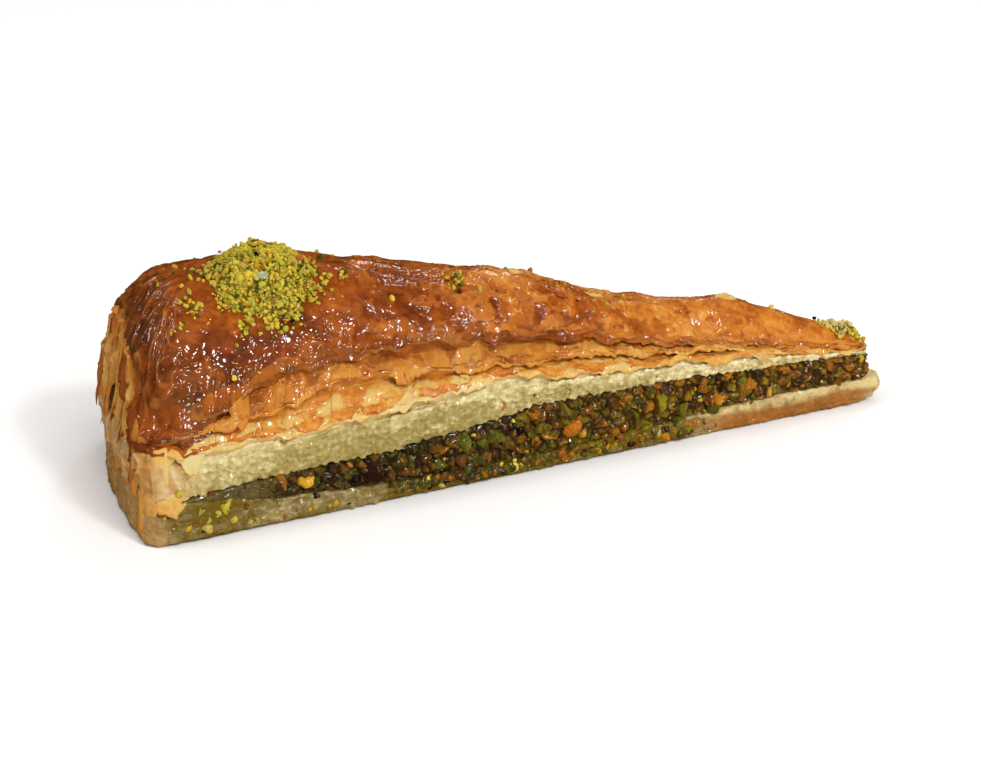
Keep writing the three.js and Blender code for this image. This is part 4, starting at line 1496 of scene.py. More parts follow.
    def _skirt(self, edge: Curve, insets: Curve, rise: float, seed: int, rows: int) -> list[Station]:
        """A sheet's hanging edge: the groove under it, its rolled lip and the run up behind it.

        Args:
            edge: Height of the edge along the wedge.
            insets: How far in from the cut the edge is.
            rise: How much higher it is in the middle of the heel.
            seed: Picks its ruffles.
            rows: How many rows follow it.

        Returns:
            The stations.
        """
        place = self.outline
        slack = np.minimum(1, place.reach / self.terrace_reach)
        ruffle = 0.8 * place.noise(seed, 4.3, seed) + 0.6 * place.noise(seed + 1, 12, seed)
        folds = place.side_wave(self.wave_seed, rise) * place.heelness
        inset = np.maximum(0.1, along(insets, place.x) + ruffle * slack + folds)
        height = self._edge_height(edge, rise) + 0.5 * ruffle
        fray = 0.4 * place.noise(seed + 2, 1.9) + 0.22 * place.noise(seed + 3, 0.7)
        fray = fray * (1 - 0.6 * place.heelness)
        inset = np.maximum(0.05, inset - 0.35 * np.abs(fray))
        height = height + fray * slack
        gape = self._gape()
        groove = inset + self.lip * slack * np.minimum(gape, 1)
        return [
            Station(groove, height - self.lip_drop * gape * slack, 6),
            Station(inset + 0.35, height - 0.05 * gape * slack, 2),
            Station(inset, height + 0.08, 4),
            Station(inset + 0.5 * slack, height + 0.8 * slack, rows),
        ]

    def _stations(self) -> list[Station]:
        """Returns the stations from the underside to the skin's lower edge."""
        place = self.outline
        floor = along(FILLING_ROOF, place.x)
        top = along(DENSE_TOP, place.x)
        teeth = 0.5 * place.noise(51, 1.5) + 0.4 * place.noise(52, 0.6) + 0.3 * place.noise(53, 4)
        teeth = teeth * (1 - place.heelness) * rising(place.x, -76, -68)
        foot = place.side_wave(self.wave_seed, 0)
        stations = [
            Station(place.reach, along(FILLING_ROOF, place.crest_x), 3),
            Station(self.undercut + 1.3 + foot, floor, 5),
            Station(0.3 + foot, floor + 0.25 + 0.55 * teeth, 4),
        ]
        for share, rows in ((0.2, 16), (0.5, 16), (0.8, 9)):
            wave = place.side_wave(self.wave_seed, share * 10)
            stations.append(Station(wave, lerp(floor, top, share), rows))
        stations += self._skirt(DENSE_TOP, self.dense_inset, 0, 21, 38)
        stations += self._skirt(SHEET_EDGE, self.sheet_inset, self.heel_rise / 2, 31, 30)
        stations += self._skirt(SKIN_EDGE, self.skin_inset, self.heel_rise, 41, 7)
        return stations

    def _dome(self) -> tuple[Array, Array, Array]:
        """Returns the insets, heights and shares of the skin's rows, from its edge to the crest."""
        place = self.outline
        share = lerp(self.skin_start, 1, np.linspace(0, 1, self.skin_rows) ** 1.15)[:, None]
        edge = self._edge_height(SKIN_EDGE, self.heel_rise)
        crest = along(CREST, place.crest_x)
        start = along(self.skin_inset, place.x)
        inset = start + (place.reach - start) * share
        bulge = (1 - (1 - share) ** 2.3) ** 0.74
        flat = place.step_in(inset, 0)
        x, y = flat[..., 0], flat[..., 1]
        blisters = 0.8 * noise(11, x / 9, y / 6.5)
        creases = 0.5 * noise(12, x / 4.2 + y / 9, y / 3.6)
        height = edge + (crest - edge) * bulge + (blisters + creases) * np.minimum(share * 4, 1)
        return inset, height, share

    # Building

    def surface(self) -> Surface:
        """Returns the stack's skin without its fine relief."""
        inset, height, level = sleeve(self.outline, self._stations())
        dome_inset, dome_height, share = self._dome()
        inset = softened(np.concatenate([inset, dome_inset]), 2, 3)
        height = softened(np.concatenate([height, dome_height]), 2, 3)
        level = np.concatenate([level, Tier.DOME.value + share[:, 0]])
        points = self.outline.step_in(inset, height)
        normals = sleeve_normals(points)
        normals[-1] = (0, 0, 1)
        return Surface(self.outline, points, normals, level)

    def _heel_films(self) -> list[Leaf]:
        """Returns films that hang down the heel's wall from between the sheets."""
        draw = new_draw(347)
        found = []
        rows = (
            (17.2, 16, (5, 15), 0.2), (13.6, 12, (4, 13), 0.16),
            (9.6, 8, (3, 9), 0.07), (3.4, 2, (1, 5), 0.07),
        )
        for root, edge, hangs, flare in rows:
            start, end = self.heel_film_span
            while start < end:
                length = draw.uniform(2.5, 6)
                looks = draw.uniform((0.1, 0.3, 0.1), (0.4, 0.58, 0.6))
                hang = draw.uniform(*hangs)
                span = (start, start + length)
                seed = 3000 + 9 * len(found)
                found.append(Leaf(span, root, edge, hang, *looks, seed, taper=1.5, flare=flare))
                start += length * draw.uniform(0.6, 1.3)
        return found

    def build(self) -> list[Piece]:
        """Builds and dresses the stack, and returns its pieces, the main one first."""
        surface = self.surface()
        places = Places(surface)
        CutBlock().shape(places)
        HangingSheets().shape(places)
        GlazedSkin().shape(places)
        HeelWall().shape(places)
        surface.points = surface.points + surface.normals * places.grid(places.relief)[..., None]
        values = {"toast": places.toast, "film": np.clip(places.film, 0, 1)}
        values |= {"second": places.sheet, "browned": np.clip(places.browned, 0, 1)}
        main = make_sleeve("upper_sheets", surface.points, [self.block, self.phyllo], values)
        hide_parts("upper_pastry")
        surface.normals = sleeve_normals(surface.points)
        pieces = [main]
        groups = {
            "skin_leaves": [*self.fringes[0].leaves(), *self.fringes[1].leaves()],
            "sheet_leaves": [leaf for fringe in self.fringes[2:5] for leaf in fringe.leaves()],
            "cut_films": [leaf for fringe in self.fringes[5:] for leaf in fringe.leaves()],
            "lone_leaves": list(self.lone_leaves),
            "heel_films": self._heel_films(),
        }
        for name, leaves in groups.items():
            built = [leaf.build(surface) for leaf in leaves]
            points, faces = joined([(points, faces) for points, faces, _, _ in built])
            values = {
                "toast": np.concatenate([toast for _, _, toast, _ in built]),
                "film": np.concatenate([film for _, _, _, film in built]),
            }
            pieces.append(make_piece(name, points, faces, [self.phyllo], values))
        return pieces


class Places:
    """The corners of the upper stack's skin, with the relief and looks worked out so far."""

    def __init__(self, surface: Surface) -> None:
        """Lays the corners out in one long row.

        Args:
            surface: The skin they belong to.
        """
        self.shape = surface.points.shape[:2]
        self.x, self.y, self.z = surface.points.reshape(-1, 3).T
        self.level = np.repeat(surface.level, self.shape[1])
        self.heel = np.tile(surface.outline.heelness, self.shape[0])
        self.run = np.tile(surface.outline.run, self.shape[0])
        steps = np.linalg.norm(np.diff(surface.points, axis=0), axis=-1)
        climb = np.concatenate([np.zeros((1, self.shape[1])), np.cumsum(steps, axis=0)])
        lip = int(np.searchsorted(surface.level, Tier.SKIN_LIP.value))
        self.climb = (climb - climb[lip]).ravel()
        blank = np.zeros((5, len(self.x)))
        self.relief, self.toast, self.film, self.sheet, self.browned = blank

    def grid(self, values: Array) -> Array:
        """Returns values at the corners in rows that run round."""
        return values.reshape(self.shape)

    def band(self, first: float, last: float, ease: float = 0.1) -> Array:
        """Returns 1 between two levels and 0 outside them."""
        begun = rising(self.level, first, first + ease)
        return begun * fading(self.level, last - ease, last)

    def _in_waves(self, pitch: float, stretch: Sequence[float]) -> list[Array]:
        """Returns the corners counted in wavelengths, which are stretched along the axes."""
        return [axis / (pitch * s) for axis, s in zip((self.x, self.y, self.z), stretch)]

    def noise(self, seed: int, pitch: float, stretch: Sequence[float] = (1, 1, 1)) -> Array:
        """Returns noise in space, its waves stretched along the axes."""
        return noise(seed, *self._in_waves(pitch, stretch))

    def rough(
        self, seed: int, octaves: int, pitch: float, stretch: Sequence[float] = (1, 1, 1)
    ) -> Array:
        """Returns noise of several octaves in space, its waves stretched along the axes."""
        return rough(seed, octaves, *self._in_waves(pitch, stretch))

    def cells(self, seed: int, pitch: float, where: Array) -> tuple[Array, Array, Array]:
        """Returns the cells of the corners that are marked, and plain values elsewhere."""
        spots = np.flatnonzero(where)
        found = cells(seed, np.stack([self.x, self.y, self.z], axis=1)[spots] / pitch)
        filled = [np.full(len(self.x), rest) for rest in (1.0, 0.0, 0.5)]
        for values, part in zip(filled, found):
            values[spots] = part
        return tuple(filled)


@dataclass(frozen=True)
class CutBlock:
    """The look of the dense block: soaked sheets that the knife tore into a coarse, wet crumb."""

    crumb_mm: float = 1.0
    crumb_depth: float = 0.52
    grain_mm: float = 1.25
    bed_mm: float = 1.2
    bed_depth: float = 0.1

    def shape(self, at: Places) -> None:
        """Adds the block's relief and looks."""
        cut = at.band(Tier.CUT_EDGE.value - 0.8, 6, 0.3) * (1 - at.heel)
        flat = (6, 6, 1)
        beds = at.rough(81, 3, self.bed_mm, flat)
        torn = rising(at.noise(84, 7, (1.3, 1.3, 0.5)), -0.5, 0.3)
        low = fading(at.level, 3, 5)
        crumb = at.rough(85, 3, self.crumb_mm, (1.2, 1.2, 0.8))
        near, _, lot = at.cells(87, self.grain_mm, cut > 0.01)
        grain = (0.55 - near) + 0.3 * (lot - 0.5)
        crack = creased(88, 9, at.x / 7, at.y / 7, at.z / 1.3 + 0.5 * beds)
        relief = self.bed_depth * beds + (0.6 + 0.4 * torn) * self.crumb_depth * crumb
        relief += 0.72 * grain * (0.55 + 0.45 * low) - 0.16 * crack
        at.relief += cut * relief
        tipward = rising(at.x, 0, 55)
        tone = 0.4 + 0.13 * at.noise(89, 6, (1.2, 1.2, 0.35)) + 0.16 * low - 0.14 * tipward
        # Painted shade: the crumb's hollows are coloured darker and its lumps paler.
        tone += 0.06 * at.noise(90, 2) - 0.36 * relief - 0.18 * rising(at.level, 4.6, 6)
        tone += 0.12 * hump(at.x, -34, 26) - 0.07 * rising(-at.x, 50, 70) + 0.12 * (lot - 0.5)
        corner = rising(-at.x + 4 * at.noise(91, 3) + 0.3 * (at.z - 12), 66, 77)
        fans = creased(168, 3, at.run / 1.8 + 0.25 * at.z, at.z / 8)
        at.relief += cut * corner * (0.3 * fans - 0.2 * relief)
        at.toast += cut * lerp(np.minimum(tone, 0.64), 0.25, corner)
        at.browned += cut * (corner * (0.95 - 0.7 * fans) + 0.22 * rising(at.x, 35, 65))


@dataclass(frozen=True)
class HangingSheets:
    """The look of the sheets that open above the block: papery, soaked and golden."""

    bag_depth: float = 0.95
    bag_centre: float = -34.0
    bag_reach: float = 26.0
    vein_mm: float = 1.1

    def shape(self, at: Places) -> None:
        """Adds the sheets' relief and looks."""
        gold, tan = at.band(Tier.GOLD.value - 1, 10), at.band(Tier.TAN.value - 1, 14)
        rise = np.clip(at.level - Tier.GOLD.value, 0, 1)
        warp = 0.9 * at.noise(91, 2.6)
        vein = creased(92, 4, at.x / 2.4 + warp, at.y / 2.4, at.z / self.vein_mm - warp)
        fine = creased(93, 3, at.x / 0.9 - warp, at.y / 0.9, at.z / 0.5 + warp)
        film_vein = creased(94, 5, at.x / 1.9 + warp, at.y / 1.9 - warp, at.z / 1.7)
        bag = np.sin(np.pi * rise) * hump(at.x, self.bag_centre, self.bag_reach)
        swell = at.noise(95, 4.6, (1.2, 1, 0.6))
        heelward = rising(-at.x, 48, 74)
        relief = self.bag_depth * bag + 0.2 * vein + 0.1 * fine + 0.28 * swell
        at.relief += gold * relief
        folds = at.noise(96, 2.4, (1, 1, 1.6))
        at.relief += tan * (0.18 * film_vein + 0.34 * folds + 0.1 * fine)
        # Painted shade: the top of the golden sheet, under the overhanging sheet above, is coloured darker
        # and duller, and the veins' ridges paler than their creases.
        shade = rising(rise, 0.5, 0.95)
        tone = 0.41 + 0.1 * hump(rise, 0.2, 0.22) + 0.16 * heelward + 0.1 * at.noise(97, 5)
        at.toast += gold * (tone - 0.14 * vein + 0.1 * shade)
        at.film += gold * (0.2 * shade * (1 - heelward) + 0.12 * vein**2)
        high = np.clip(at.level - Tier.TAN.value, 0, 1)
        # Painted shade: the tan sheet's raised folds and veins are coloured paler than their creases.
        tone = 0.61 + 0.12 * heelward + 0.1 * at.noise(98, 4) - 0.08 * folds
        corner = rising(-at.x, 72, 77)
        tone += 0.16 * corner + 0.05 * hump(at.x, -40, 22)
        at.toast += tan * (tone - 0.14 * film_vein - 0.08 * rising(at.x, 10, 50))
        at.film += tan * (1 - corner) * (0.15 + 0.25 * at.noise(99, 3) + 0.25 * film_vein**2)
        at.toast += tan * 0.06 * high
        for first, browned, pale in ((6, 0.12, 0.2), (10, 0.5, 0.2), (14, 0.7, 0.15)):
            lip = at.band(first - 0.06, first + 3, 0.05)
            tone = browned + 0.1 * heelward - 0.24 * browned * rising(at.x, 0, 50)
            edge = hump(at.level, first + 1.8, 0.6)
            at.toast += lip * (tone + 0.12 * at.noise(100 + first, 2) + 0.1 * edge)
            at.film += lip * pale * (0.7 + 0.5 * at.noise(120 + first, 1.6))
        at.sheet = rising(at.level, 5.8, 6)


@dataclass(frozen=True)
class GlazedSkin:
    """The look of the domed skin: browned leaves under a wrinkled, blistered, wet glaze."""

    browning: Curve = (
        (-84, 0.82), (-72, 0.84), (-55, 0.8), (-20, 0.68),
        (0, 0.64), (20, 0.55), (45, 0.56), (80, 0.57),
    )
    leaf_step: float = 0.13
    blister_mm: float = 2.6
    wrinkle_mm: float = 2.2

    def shape(self, at: Places) -> None:
        """Adds the skin's relief and looks."""
        skin = rising(at.level, Tier.SKIN_LIP.value + 0.3, Tier.SKIN_TURN.value)
        share = np.clip(at.level - Tier.DOME.value, 0, 1)
        low = fading(at.climb, 7, 19)
        edge = fading(at.climb, 1.5, 6)
        middle = rising(at.x, -45, -20) * fading(at.x, 32, 55)
        heelward = fading(at.x, -66, -40)
        warp = 0.9 * at.noise(131, 4.5)
        # Torn leaves lie over one another, their borders crisp.
        relief = np.zeros(len(at.x))
        leaves = np.zeros(len(at.x))
        for seed, pitch, cover in ((133, 7.5, 0.02), (137, 5.0, 0.16), (141, 3.4, 0.22)):
            border = at.noise(seed, pitch, (1.3, 1, 1)) + 0.35 * at.noise(seed + 1, pitch / 3)
            border += 0.2 * at.noise(seed + 2, 0.8)
            bare = cover + 0.55 * (1 - np.maximum(middle, 0.6 * edge))
            leaf = rising(border, bare, bare + 0.07)
            leaves += leaf
            relief += self.leaf_step * leaf
        # Blisters and wrinkles of the glaze.
        near, _, lot = at.cells(145, self.blister_mm, skin > 0.01)
        patchy = 0.35 + 0.65 * rising(at.noise(146, 8), -0.3, 0.4)
        puffed = rising(lot, 0.35, 0.8) * low * patchy
        blister = puffed * rising(0.6 - near, 0, 0.45)
        pitch = self.wrinkle_mm
        wrinkle = creased(147, 2.5, at.x / (pitch * 1.5) + warp, at.y / pitch, at.z / pitch - warp)
        fine = creased(148, 2.2, at.x / 1.1 + warp, at.y / 1.0 - warp, at.z / 0.9)
        calm = 0.25 + 0.75 * np.maximum(low, 0.8 * middle)
        relief += calm * (0.24 * blister + 0.1 * wrinkle + 0.06 * fine)
        # Edges of many leaves show as lines along the lower rim.
        lines = at.noise(149, 1.0, (7, 7, 1)) * 0.5 + 0.5 * noise(150, at.run / 9, at.climb / 0.55)
        relief += 0.16 * edge * lines
        # Curls of broken glaze.
        ring = np.abs(at.noise(151, 2.1) - 0.12 * at.noise(152, 1))
        patch = hump(at.x, -2, 6) * hump(at.climb, 7.5, 3)
        patch += hump(at.x, -61.5, 2.5) * hump(at.climb, 14, 2.5)
        patch = np.clip(patch * 1.4, 0, 1) * (at.y < 0)
        curl = patch * fading(ring, 0.05, 0.11) * rising(at.noise(170, 1.3), -0.1, 0.15)
        relief += 0.34 * curl
        # Folds fan out from the heel's corners.
        fan = np.maximum(at.heel, 1 - rising(at.x, -79, -66)) * fading(share, 0.45, 0.85)
        fold = creased(153, 2.0, at.run / 3.1 + 1.3 * warp, 5 * share + 0.5 * warp)
        thin = creased(154, 2.4, at.run / 1.3 - warp, 8 * share - warp)
        relief += fan * (0.42 * (fold - 0.4) + 0.2 * thin)
        at.relief += skin * relief
        # Browning. Blister tops and wrinkle crests are coloured paler than their hollows, which is painted
        # shade; the heel folds' crests are paler too.
        tone = along(self.browning, at.x) + 0.05 * at.noise(155, 13)
        tone += (0.07 - 0.03 * heelward) * at.noise(156, 4)
        tone += 0.1 * heelward * low + 0.05 * low - (0.04 + 0.05 * middle) * leaves
        tone += 0.12 * middle - 0.1 * blister - 0.08 * wrinkle
        tone += 0.06 * at.noise(157, 0.9) + 0.07 * edge * lines - 0.22 * curl
        tone += 0.25 * rising(at.noise(158, 1.1), 0.72, 0.85) * middle - 0.1 * fan * fold
        at.toast += skin * tone
        # Pale film on the wrinkle crests and on the heel folds' crests: partly loose film, partly a painted
        # highlight.
        film = 0.1 * leaves * (0.4 + 0.6 * middle) + 0.04 * wrinkle
        film += fan * (0.3 * rising(fold, 0.7, 1) + 0.12 * thin**2) + 0.18 * edge * (lines > 0.25)
        at.film += skin * film


@dataclass(frozen=True)
class HeelWall:
    """The look of the heel: film that baked against the tray's wall, folded and tanned."""

    def shape(self, at: Places) -> None:
        """Replaces the looks of the other zones where the wall is."""
        skin = rising(at.level, Tier.SKIN_LIP.value, Tier.SKIN_TURN.value)
        wall = at.heel * (1 - skin)
        warp = 0.8 * at.noise(161, 4)
        fold = creased(162, 2.6, at.run / 3.4 + warp, at.z / 13 + 0.4 * warp)
        thin = creased(163, 2.4, at.run / 1.1 - warp, at.z / 6)
        hollow = rising(at.noise(164, 3.2, (1, 1, 2.2)), 0.0, 0.3)
        crumple = at.rough(169, 3, 1.6)
        relief = 0.9 * fold + 0.35 * thin - 0.5 * hollow + 0.25 * crumple
        at.relief += wall * relief * rising(at.level, 2, 3)
        # Painted shade: the wall's hollows are coloured darker and its fold crests paler, in the toast, the
        # browning and the film below; the pale film on the crests is partly a painted highlight.
        tone = 0.44 + 0.26 * hollow - 0.16 * fold - 0.08 * thin + 0.12 * at.noise(165, 2.2)
        tone += 0.1 * fading(at.z, 9, 15) + 0.1 * rising(at.z, 24, 36)
        low = at.level < 6
        browned = np.where(low, 1.0 - 0.3 * fold + 0.25 * at.noise(166, 1.5), 0)
        at.browned = lerp(at.browned, browned, wall)
        tone = np.where(low, 0.26 + 0.5 * (tone - 0.4), tone)
        # The glazed skin hangs lower at the corners.
        corner = rising(np.abs(at.y), 14, 17) * rising(at.z + warp, 17, 19)
        tone = lerp(tone, 0.8 - 0.1 * thin, corner)
        film = (0.35 * fold + 0.2 * thin - 0.3 * hollow) * (1 - corner)
        at.toast = lerp(at.toast, tone, wall)
        at.film = lerp(at.film, film, wall)


# ---- ground pistachio


@dataclass(frozen=True)
class Mound:
    """Where a mound of ground pistachio lies, how high it is and how many crumbs show."""

    node: str
    centre: Span
    radii: Span
    height: float
    crumbs: int
    seed: int
    cluster: int = 9
    cluster_spread: float = 0.5
    paleness: float = 0.0

    def rim(self, angle: Array) -> Array:
        """Returns how far out the ragged rim lies at an angle, as a share of the radii."""
        turn = np.stack([np.cos(angle), np.sin(angle)])
        return 0.94 + 0.07 * noise(61, *(turn * 1.6)) + 0.15 * noise(62, *(turn * 4.5))

    def plan(self, share: Array, angle: Array) -> tuple[Array, Array]:
        """Returns the x and y of places a share of the way out to the rim."""
        rim = self.rim(angle)
        x = self.centre[0] + self.radii[0] * share * rim * np.cos(angle)
        return x, self.centre[1] + self.radii[1] * share * rim * np.sin(angle)


@dataclass(frozen=True)
class Clump:
    """A few crumbs that landed together away from the mounds, and their tint if it is one."""

    x: float
    y: float
    count: int
    tint: NutTint | None = None


@dataclass
class GroundPistachio:
    """The heap near the heel, the pinch at the tip and the crumbs that strayed from them."""

    ground: BVHTree
    finish: Material
    syrup: Material
    mounds: tuple[Mound, ...] = (
        Mound("pistachio_heap", (-52.5, -4.6), (11.4, 11.4), 3.4, 2450, 17),
        Mound("tip_pistachio", (73.4, 0.2), (4.6, 2.0), 0.7, 150, 19, paleness=0.3),
    )
    crumb_size: Span = (0.22, 0.56)
    strays: int = 60
    stray_size: Span = (0.2, 0.7)
    stray_span: Span = (-76, 60)
    clump_size: Span = (0.28, 0.6)
    clumps: tuple[Clump, ...] = (
        Clump(-65.7, -12.1, 9), Clump(-67.2, -11.6, 6), Clump(-67.6, -9.8, 8), Clump(-70, -15, 7),
        Clump(-65.2, -14.4, 2, YELLOW), Clump(-57.4, -16, 7), Clump(-57.2, -15, 4),
        Clump(-51.3, -16.2, 5), Clump(-46.7, -14, 7), Clump(-41.4, -10, 8), Clump(-40.3, -7.7, 7),
        Clump(-36.6, -7.3, 6), Clump(-14.3, -5.2, 11), Clump(-13.2, -4.2, 8), Clump(-12.4, -5.4, 4),
        Clump(-47.8, -14.6, 2, BARK), Clump(68, -0.4, 5), Clump(67.4, 0.4, 2, BARK),
        Clump(71, -1.8, 6), Clump(75.5, -1.6, 12), Clump(77.2, -0.8, 12), Clump(76.6, 0.9, 6),
    )
    drop: Span = (-53.0, -10.3)
    drop_radii: tuple[float, float, float] = (1.15, 0.85, 0.5)
    drop_tilt_deg: float = 36.0
    drop_tint: str = "#a2a684"
    cream: str = "#f2e2b0"
    shares: Mix = mix(meal=10, straw=4, lime=4, leaf=2.5, yellow=1.6, rust=0.7)

    def skin_height(self, x: float, y: float) -> float:
        """Returns the height of the pastry at a place of the plan."""
        return height_at(self.ground, x, y) or 0.0

    def build(self) -> list[Piece]:
        """Builds and dresses the mounds, the strays and the drop of syrup, and returns them."""
        pieces = []
        for mound in self.mounds:
            core = self._core(mound)
            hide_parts(mound.node)
            pieces += [core, self._crumbs(mound, core)]
        pieces.append(self._strays())
        pieces.append(self._drop(pieces[0]))
        return pieces

    def _core(self, mound: Mound) -> Piece:
        """Returns a mound's core: a low dome over the skin, all crumbs, its root in the pastry."""
        rings, around = max(8, round(mound.radii[0] / 0.22)), max(40, round(mound.radii[0] * 26))
        share = np.linspace(1, 0, rings)[:, None]
        angle = np.linspace(0, 2 * math.pi, around, endpoint=False)[None]
        x, y = mound.plan(share, angle)
        skin = np.array([self.skin_height(a, b) for a, b in zip(x.ravel(), y.ravel())])
        z = skin.reshape(x.shape) + mound.height * (1 - share**2) - 0.6 * share**6
        points = np.stack([x, y, z], axis=-1)
        flat = points.reshape(-1, 3)
        near, fine = cells(63, flat / 0.8)[0], cells(68, flat / 0.5)[0]
        lump = 0.7 * (0.55 - near) + 0.25 * (0.5 - fine)
        lump += 0.25 * rough(64, 2, *(flat[:, :2] / 2.6).T)
        points[..., 2] += lump.reshape(share.shape[0], around) * (1 - share**8)
        root = points[:1].copy()
        root[..., 2] -= 2.5
        root_middle = np.broadcast_to(root.mean(axis=1, keepdims=True), root.shape)
        points = np.concatenate([root_middle, root, points])
        # Painted shade: the core is coloured dark in the hollows between its lumps and lighter on their
        # tops.
        tint = MEAL.rgb * (0.22 + 0.6 * rising(0.7 - near, 0, 0.6))[:, None]
        tint = np.concatenate([np.repeat(tint[:1], 2 * around, axis=0), tint])
        return make_sleeve(mound.node + "_core", points, [self.finish], {"tint": tint})

    def _crumbs(self, mound: Mound, core: Piece) -> Piece:
        """Returns the loose crumbs on a mound."""
        draw = new_draw(mound.seed)
        surface = surface_of(core)
        clusters = math.ceil(mound.crumbs / mound.cluster)
        share = np.sqrt((np.arange(clusters) + 0.5) / clusters) * 1.02
        angle = np.arange(clusters) * GOLDEN_ANGLE + draw.normal(0, 0.05, clusters)
        member = np.arange(mound.crumbs) % clusters
        off = draw.normal(0, mound.cluster_spread, (3, mound.crumbs))
        x, y = (places[member] + o for places, o in zip(mound.plan(share, angle), off))
        sizes = lerp(*self.crumb_size, draw.random(mound.crumbs) ** 1.6)
        sizes[: mound.crumbs // 22] *= 1.7
        z = np.empty(mound.crumbs)
        for k in range(mound.crumbs):
            z[k] = height_at(surface, x[k], y[k]) or self.skin_height(x[k], y[k])
        z += 0.35 * sizes + 0.9 * np.abs(off[2]) * np.exp(-(off[0] ** 2 + off[1] ** 2) / 0.5)
        dark = {k: BARK for k in range(7, mound.crumbs, 260)}
        centres = np.stack([x, y, z], axis=1)
        return self._bits(mound.node + "_crumbs", draw, centres, sizes, dark, mound.paleness)

    def _strays(self) -> Piece:
        """Returns crumbs that strayed over the skin, thicker near the heap."""
        draw = new_draw(23)
        heap = self.mounds[0]
        reach = heap.radii[0] * (1.05 + 0.75 * draw.random(self.strays) ** 2)
        angle = draw.random(self.strays) * 2 * math.pi
        x = heap.centre[0] + reach * np.cos(angle)
        y = heap.centre[1] + reach * np.sin(angle)
        far = draw.random(self.strays) < 0.3
        x = np.where(far, draw.uniform(*self.stray_span, self.strays), x)
        y = np.where(far, draw.uniform(-0.7, 0.7, self.strays) * (PLAN.half_width(x) - 5), y)
        sizes = lerp(*self.stray_size, draw.random(self.strays) ** 1.5)
        z = 0.35 * sizes
        marked = {}
        for clump in self.clumps:
            spread = draw.normal(0, 0.28 * math.sqrt(clump.count), (2, clump.count))
            if clump.tint:
                marked.update((len(x) + k, clump.tint) for k in range(clump.count))
            x, y = np.append(x, clump.x + spread[0]), np.append(y, clump.y + spread[1])
            z = np.append(z, draw.uniform(0.1, 0.7, clump.count))
            sizes = np.append(sizes, draw.uniform(*self.clump_size, clump.count))
        height = np.array([self.skin_height(a, b) for a, b in zip(x, y)])
        x, y, z, sizes = (values[height > 0] for values in (x, y, z + height, sizes))
        order = np.flatnonzero(height > 0)
        marked = {int(np.searchsorted(order, k)): tint for k, tint in marked.items() if height[k] > 0}
        return self._bits("stray_crumbs", draw, np.stack([x, y, z], axis=1), sizes, marked)

    def _drop(self, heap: Piece) -> Piece:
        """Returns a drop of set syrup that lies on the heap's slope."""
        corners, faces = ball(4)
        across, along_slope, out = (corners * self.drop_radii).T
        tilt = math.radians(self.drop_tilt_deg)
        y = along_slope * math.cos(tilt) - out * math.sin(tilt)
        z = along_slope * math.sin(tilt) + out * math.cos(tilt)
        top = height_at(surface_of(heap), *self.drop)
        points = np.stack([across + self.drop[0], y + self.drop[1], z + top + 1.0], axis=1)
        points += 0.06 * noise(65, *(points / 0.9).T)[:, None]
        tint = rgb(self.drop_tint) * (1 + 0.3 * noise(66, *(points / 0.6).T))[:, None]
        return make_piece("syrup_drop", points, faces, [self.syrup], {"tint": tint})

    def _bits(
        self,
        name: str,
        draw: Draw,
        centres: Array,
        sizes: Array,
        marked: dict[int, NutTint],
        paleness: float = 0.0,
    ) -> Piece:
        """Makes crumbs, each with its own tint.

        Args:
            name: The piece's name.
            draw: The random draw.
            centres: Where they are.
            sizes: Their half sizes.
            marked: The tints of those whose tint isn't drawn, by number.
            paleness: How far their tints go to the cream of dry, finely ground nuts.

        Returns:
            The piece.
        """
        shape = BitShape(rings=2, facets=3, facet_depth=(0.6, 0.95), dent_pitch=0.4, dent_depth=0.5)
        points, faces, _ = shape.make(draw, centres, sizes)
        tint = lerp(tints(draw, self.shares, len(centres)), rgb(self.cream), paleness)
        for number, kind in marked.items():
            tint[number] = kind.rgb
        tint = np.repeat(tint, len(points) // len(centres), axis=0)
        return make_piece(name, points, faces, [self.finish], {"tint": tint}, smooth=False)


# ---- the studio


@dataclass(frozen=True)
class Softbox:
    """A square lamp. Its azimuth is 0 at the near cut and 90 at the tip.

    The large, soft ones don't mirror in the glaze, where only the small ones glint.
    """

    name: str
    azimuth: float
    elevation: float
    size: float
    power: float
    glints: bool = False
    colour: str = "#ffffff"
    distance: float = 2.0


def outward(azimuth_deg: float, elevation_deg: float) -> Vector:
    """Returns the direction towards an azimuth, from 0 at the near cut, and an elevation."""
    a, e = math.radians(azimuth_deg), math.radians(elevation_deg)
    return Vector((math.sin(a) * math.cos(e), -math.cos(a) * math.cos(e), math.sin(e)))


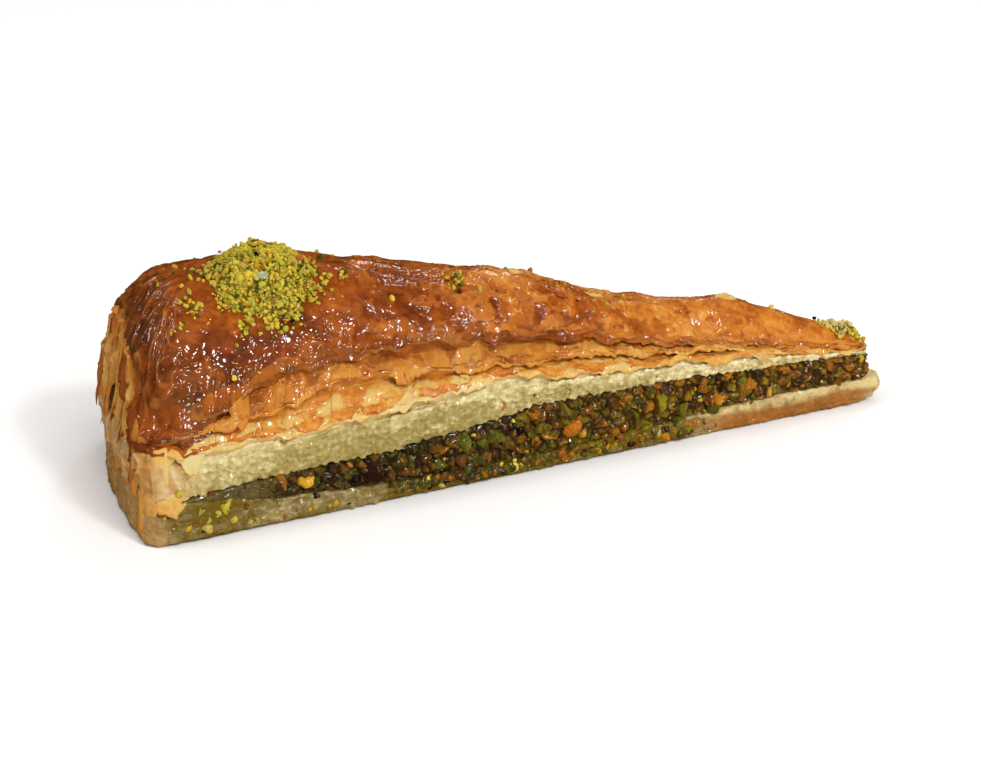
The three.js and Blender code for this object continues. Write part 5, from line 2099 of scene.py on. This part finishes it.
@dataclass
class Studio:
    """A pale floor, soft lamps and the camera. Its lengths are metres."""

    target: tuple[float, float, float] = (-0.00769, -0.01029, 0.018)
    azimuth_deg: float = -16.51
    elevation_deg: float = 24.0
    distance: float = 0.4418
    focal_px: float = 2200.0
    image_width_px: float = 981.0
    floor_half: float = 6.0
    floor_colour: str = "#fbfaf8"
    sky_strength: float = 0.42
    lamps: tuple[Softbox, ...] = (
        Softbox("key", azimuth=20, elevation=50, size=1.2, power=13.5),
        Softbox("back", azimuth=148, elevation=46, size=1.0, power=4.0),
        Softbox("front", azimuth=10, elevation=22, size=0.8, power=3.5),
        Softbox("key_glint", azimuth=26, elevation=44, size=0.24, power=11.0, glints=True),
        Softbox("low_glint", azimuth=16, elevation=14, size=0.2, power=5.0, glints=True),
        Softbox("window", azimuth=-98, elevation=62, size=0.5, power=9.0, glints=True, colour="#fbf6f8"),
        Softbox("back_glint", azimuth=146, elevation=40, size=0.3, power=2.4, glints=True),
    )

    def build(self) -> None:
        """Builds the floor, the lamps, the sky and the camera."""
        self._floor()
        self._sky()
        for lamp in self.lamps:
            self._lamp(lamp)
        self._camera()

    def _floor(self) -> None:
        """Builds the floor, of matt white paper."""
        half = self.floor_half
        mesh = bpy.data.meshes.new("floor")
        corners = [(-half, -half, 0), (half, -half, 0), (half, half, 0), (-half, half, 0)]
        mesh.from_pydata(corners, [], [(0, 1, 2, 3)])
        floor = placed("floor", mesh)
        floor.location.z = -0.02 * MM
        material = blank_material("matt_paper")
        colour = linear(self.floor_colour)
        sockets = {"Base Color": colour, "Roughness": 0.9, "Specular IOR Level": 0.1}
        mesh.materials.append(finished(material, sockets))
        floor.visible_glossy = False

    def _sky(self) -> None:
        """Builds an even, pale sky."""
        world = bpy.data.worlds.new("studio")
        world.use_nodes = True
        tree = world.node_tree
        tree.nodes.clear()
        sockets = {"Color": (1, 1, 1, 1), "Strength": self.sky_strength}
        light = add(tree, "ShaderNodeBackground", sockets)
        add(tree, "ShaderNodeOutputWorld", {"Surface": light.outputs[0]})
        world.cycles_visibility.glossy = False
        bpy.context.scene.world = world

    def _lamp(self, lamp: Softbox) -> None:
        """Builds one softbox, aimed at the slice."""
        data = bpy.data.lights.new(lamp.name, "AREA")
        data.size = lamp.size
        data.energy = lamp.power
        data.color = rgb(lamp.colour)
        light = placed(lamp.name, data)
        towards = outward(lamp.azimuth, lamp.elevation)
        light.location = Vector(self.target) + towards * lamp.distance
        light.rotation_euler = (-towards).to_track_quat("-Z", "Y").to_euler()
        light.visible_glossy = lamp.glints

    def _camera(self) -> None:
        """Builds the camera."""
        data = bpy.data.cameras.new("camera")
        data.lens = self.focal_px / self.image_width_px * data.sensor_width
        data.clip_start = 0.01
        back = outward(self.azimuth_deg, self.elevation_deg)
        camera = placed("camera", data)
        camera.location = Vector(self.target) + back * self.distance
        camera.rotation_mode = "QUATERNION"
        camera.rotation_quaternion = (-back).to_track_quat("-Z", "Y")
        bpy.context.scene.camera = camera
        bpy.context.scene.view_settings.view_transform = "Standard"


def main() -> None:
    """Builds the slice layer by layer, then the studio."""
    logging.basicConfig(level=logging.INFO, format="%(message)s")
    phyllo = BakedPhyllo().build()
    block = SoakedCrumb(
        "cut_block",
        (
            (0.0, "#f4eac8"), (0.3, "#dccc96"), (0.52, "#b4a266"), (0.72, "#94803e"), (1.0, "#6e5c22"),
        ),
        browned="#bb8444",
    ).build()
    soaked = SoakedCrumb(
        "soaked_sheets",
        (
            (0.0, "#e0cd8e"), (0.24, "#b39c66"), (0.38, "#88764a"), (0.56, "#70580f"),
            (0.72, "#6a4e0e"), (0.86, "#50400e"), (1.0, "#2e270a"),
        ),
    ).build()
    paste = NutFlesh("nut_paste", 0.5, 1.0, 0.7, 0.3, 0.8).build()
    wet_nuts = NutFlesh("chopped_pistachio", 0.5, 1.0, 0.7, 0.3, 1.2).build()
    dry_nuts = NutFlesh("ground_pistachio", 0.8, 0.0, 0.22, 0.1, 0.3).build()
    set_syrup = NutFlesh("set_syrup", 0.35, 1.0, 1.2, 0.02, 1.2).build()

    lower = LowerStack(soaked)
    base = surface_of(lower.build())
    PistachioFilling(lower, paste, wet_nuts).build()
    stack = surface_of(UpperStack(block, phyllo).build()[0])
    GroundPistachio(stack, dry_nuts, set_syrup).build()
    CutCrumbs((stack, base), wet_nuts).build()
    Studio().build()

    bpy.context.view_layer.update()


if __name__ == "__main__":
    main()
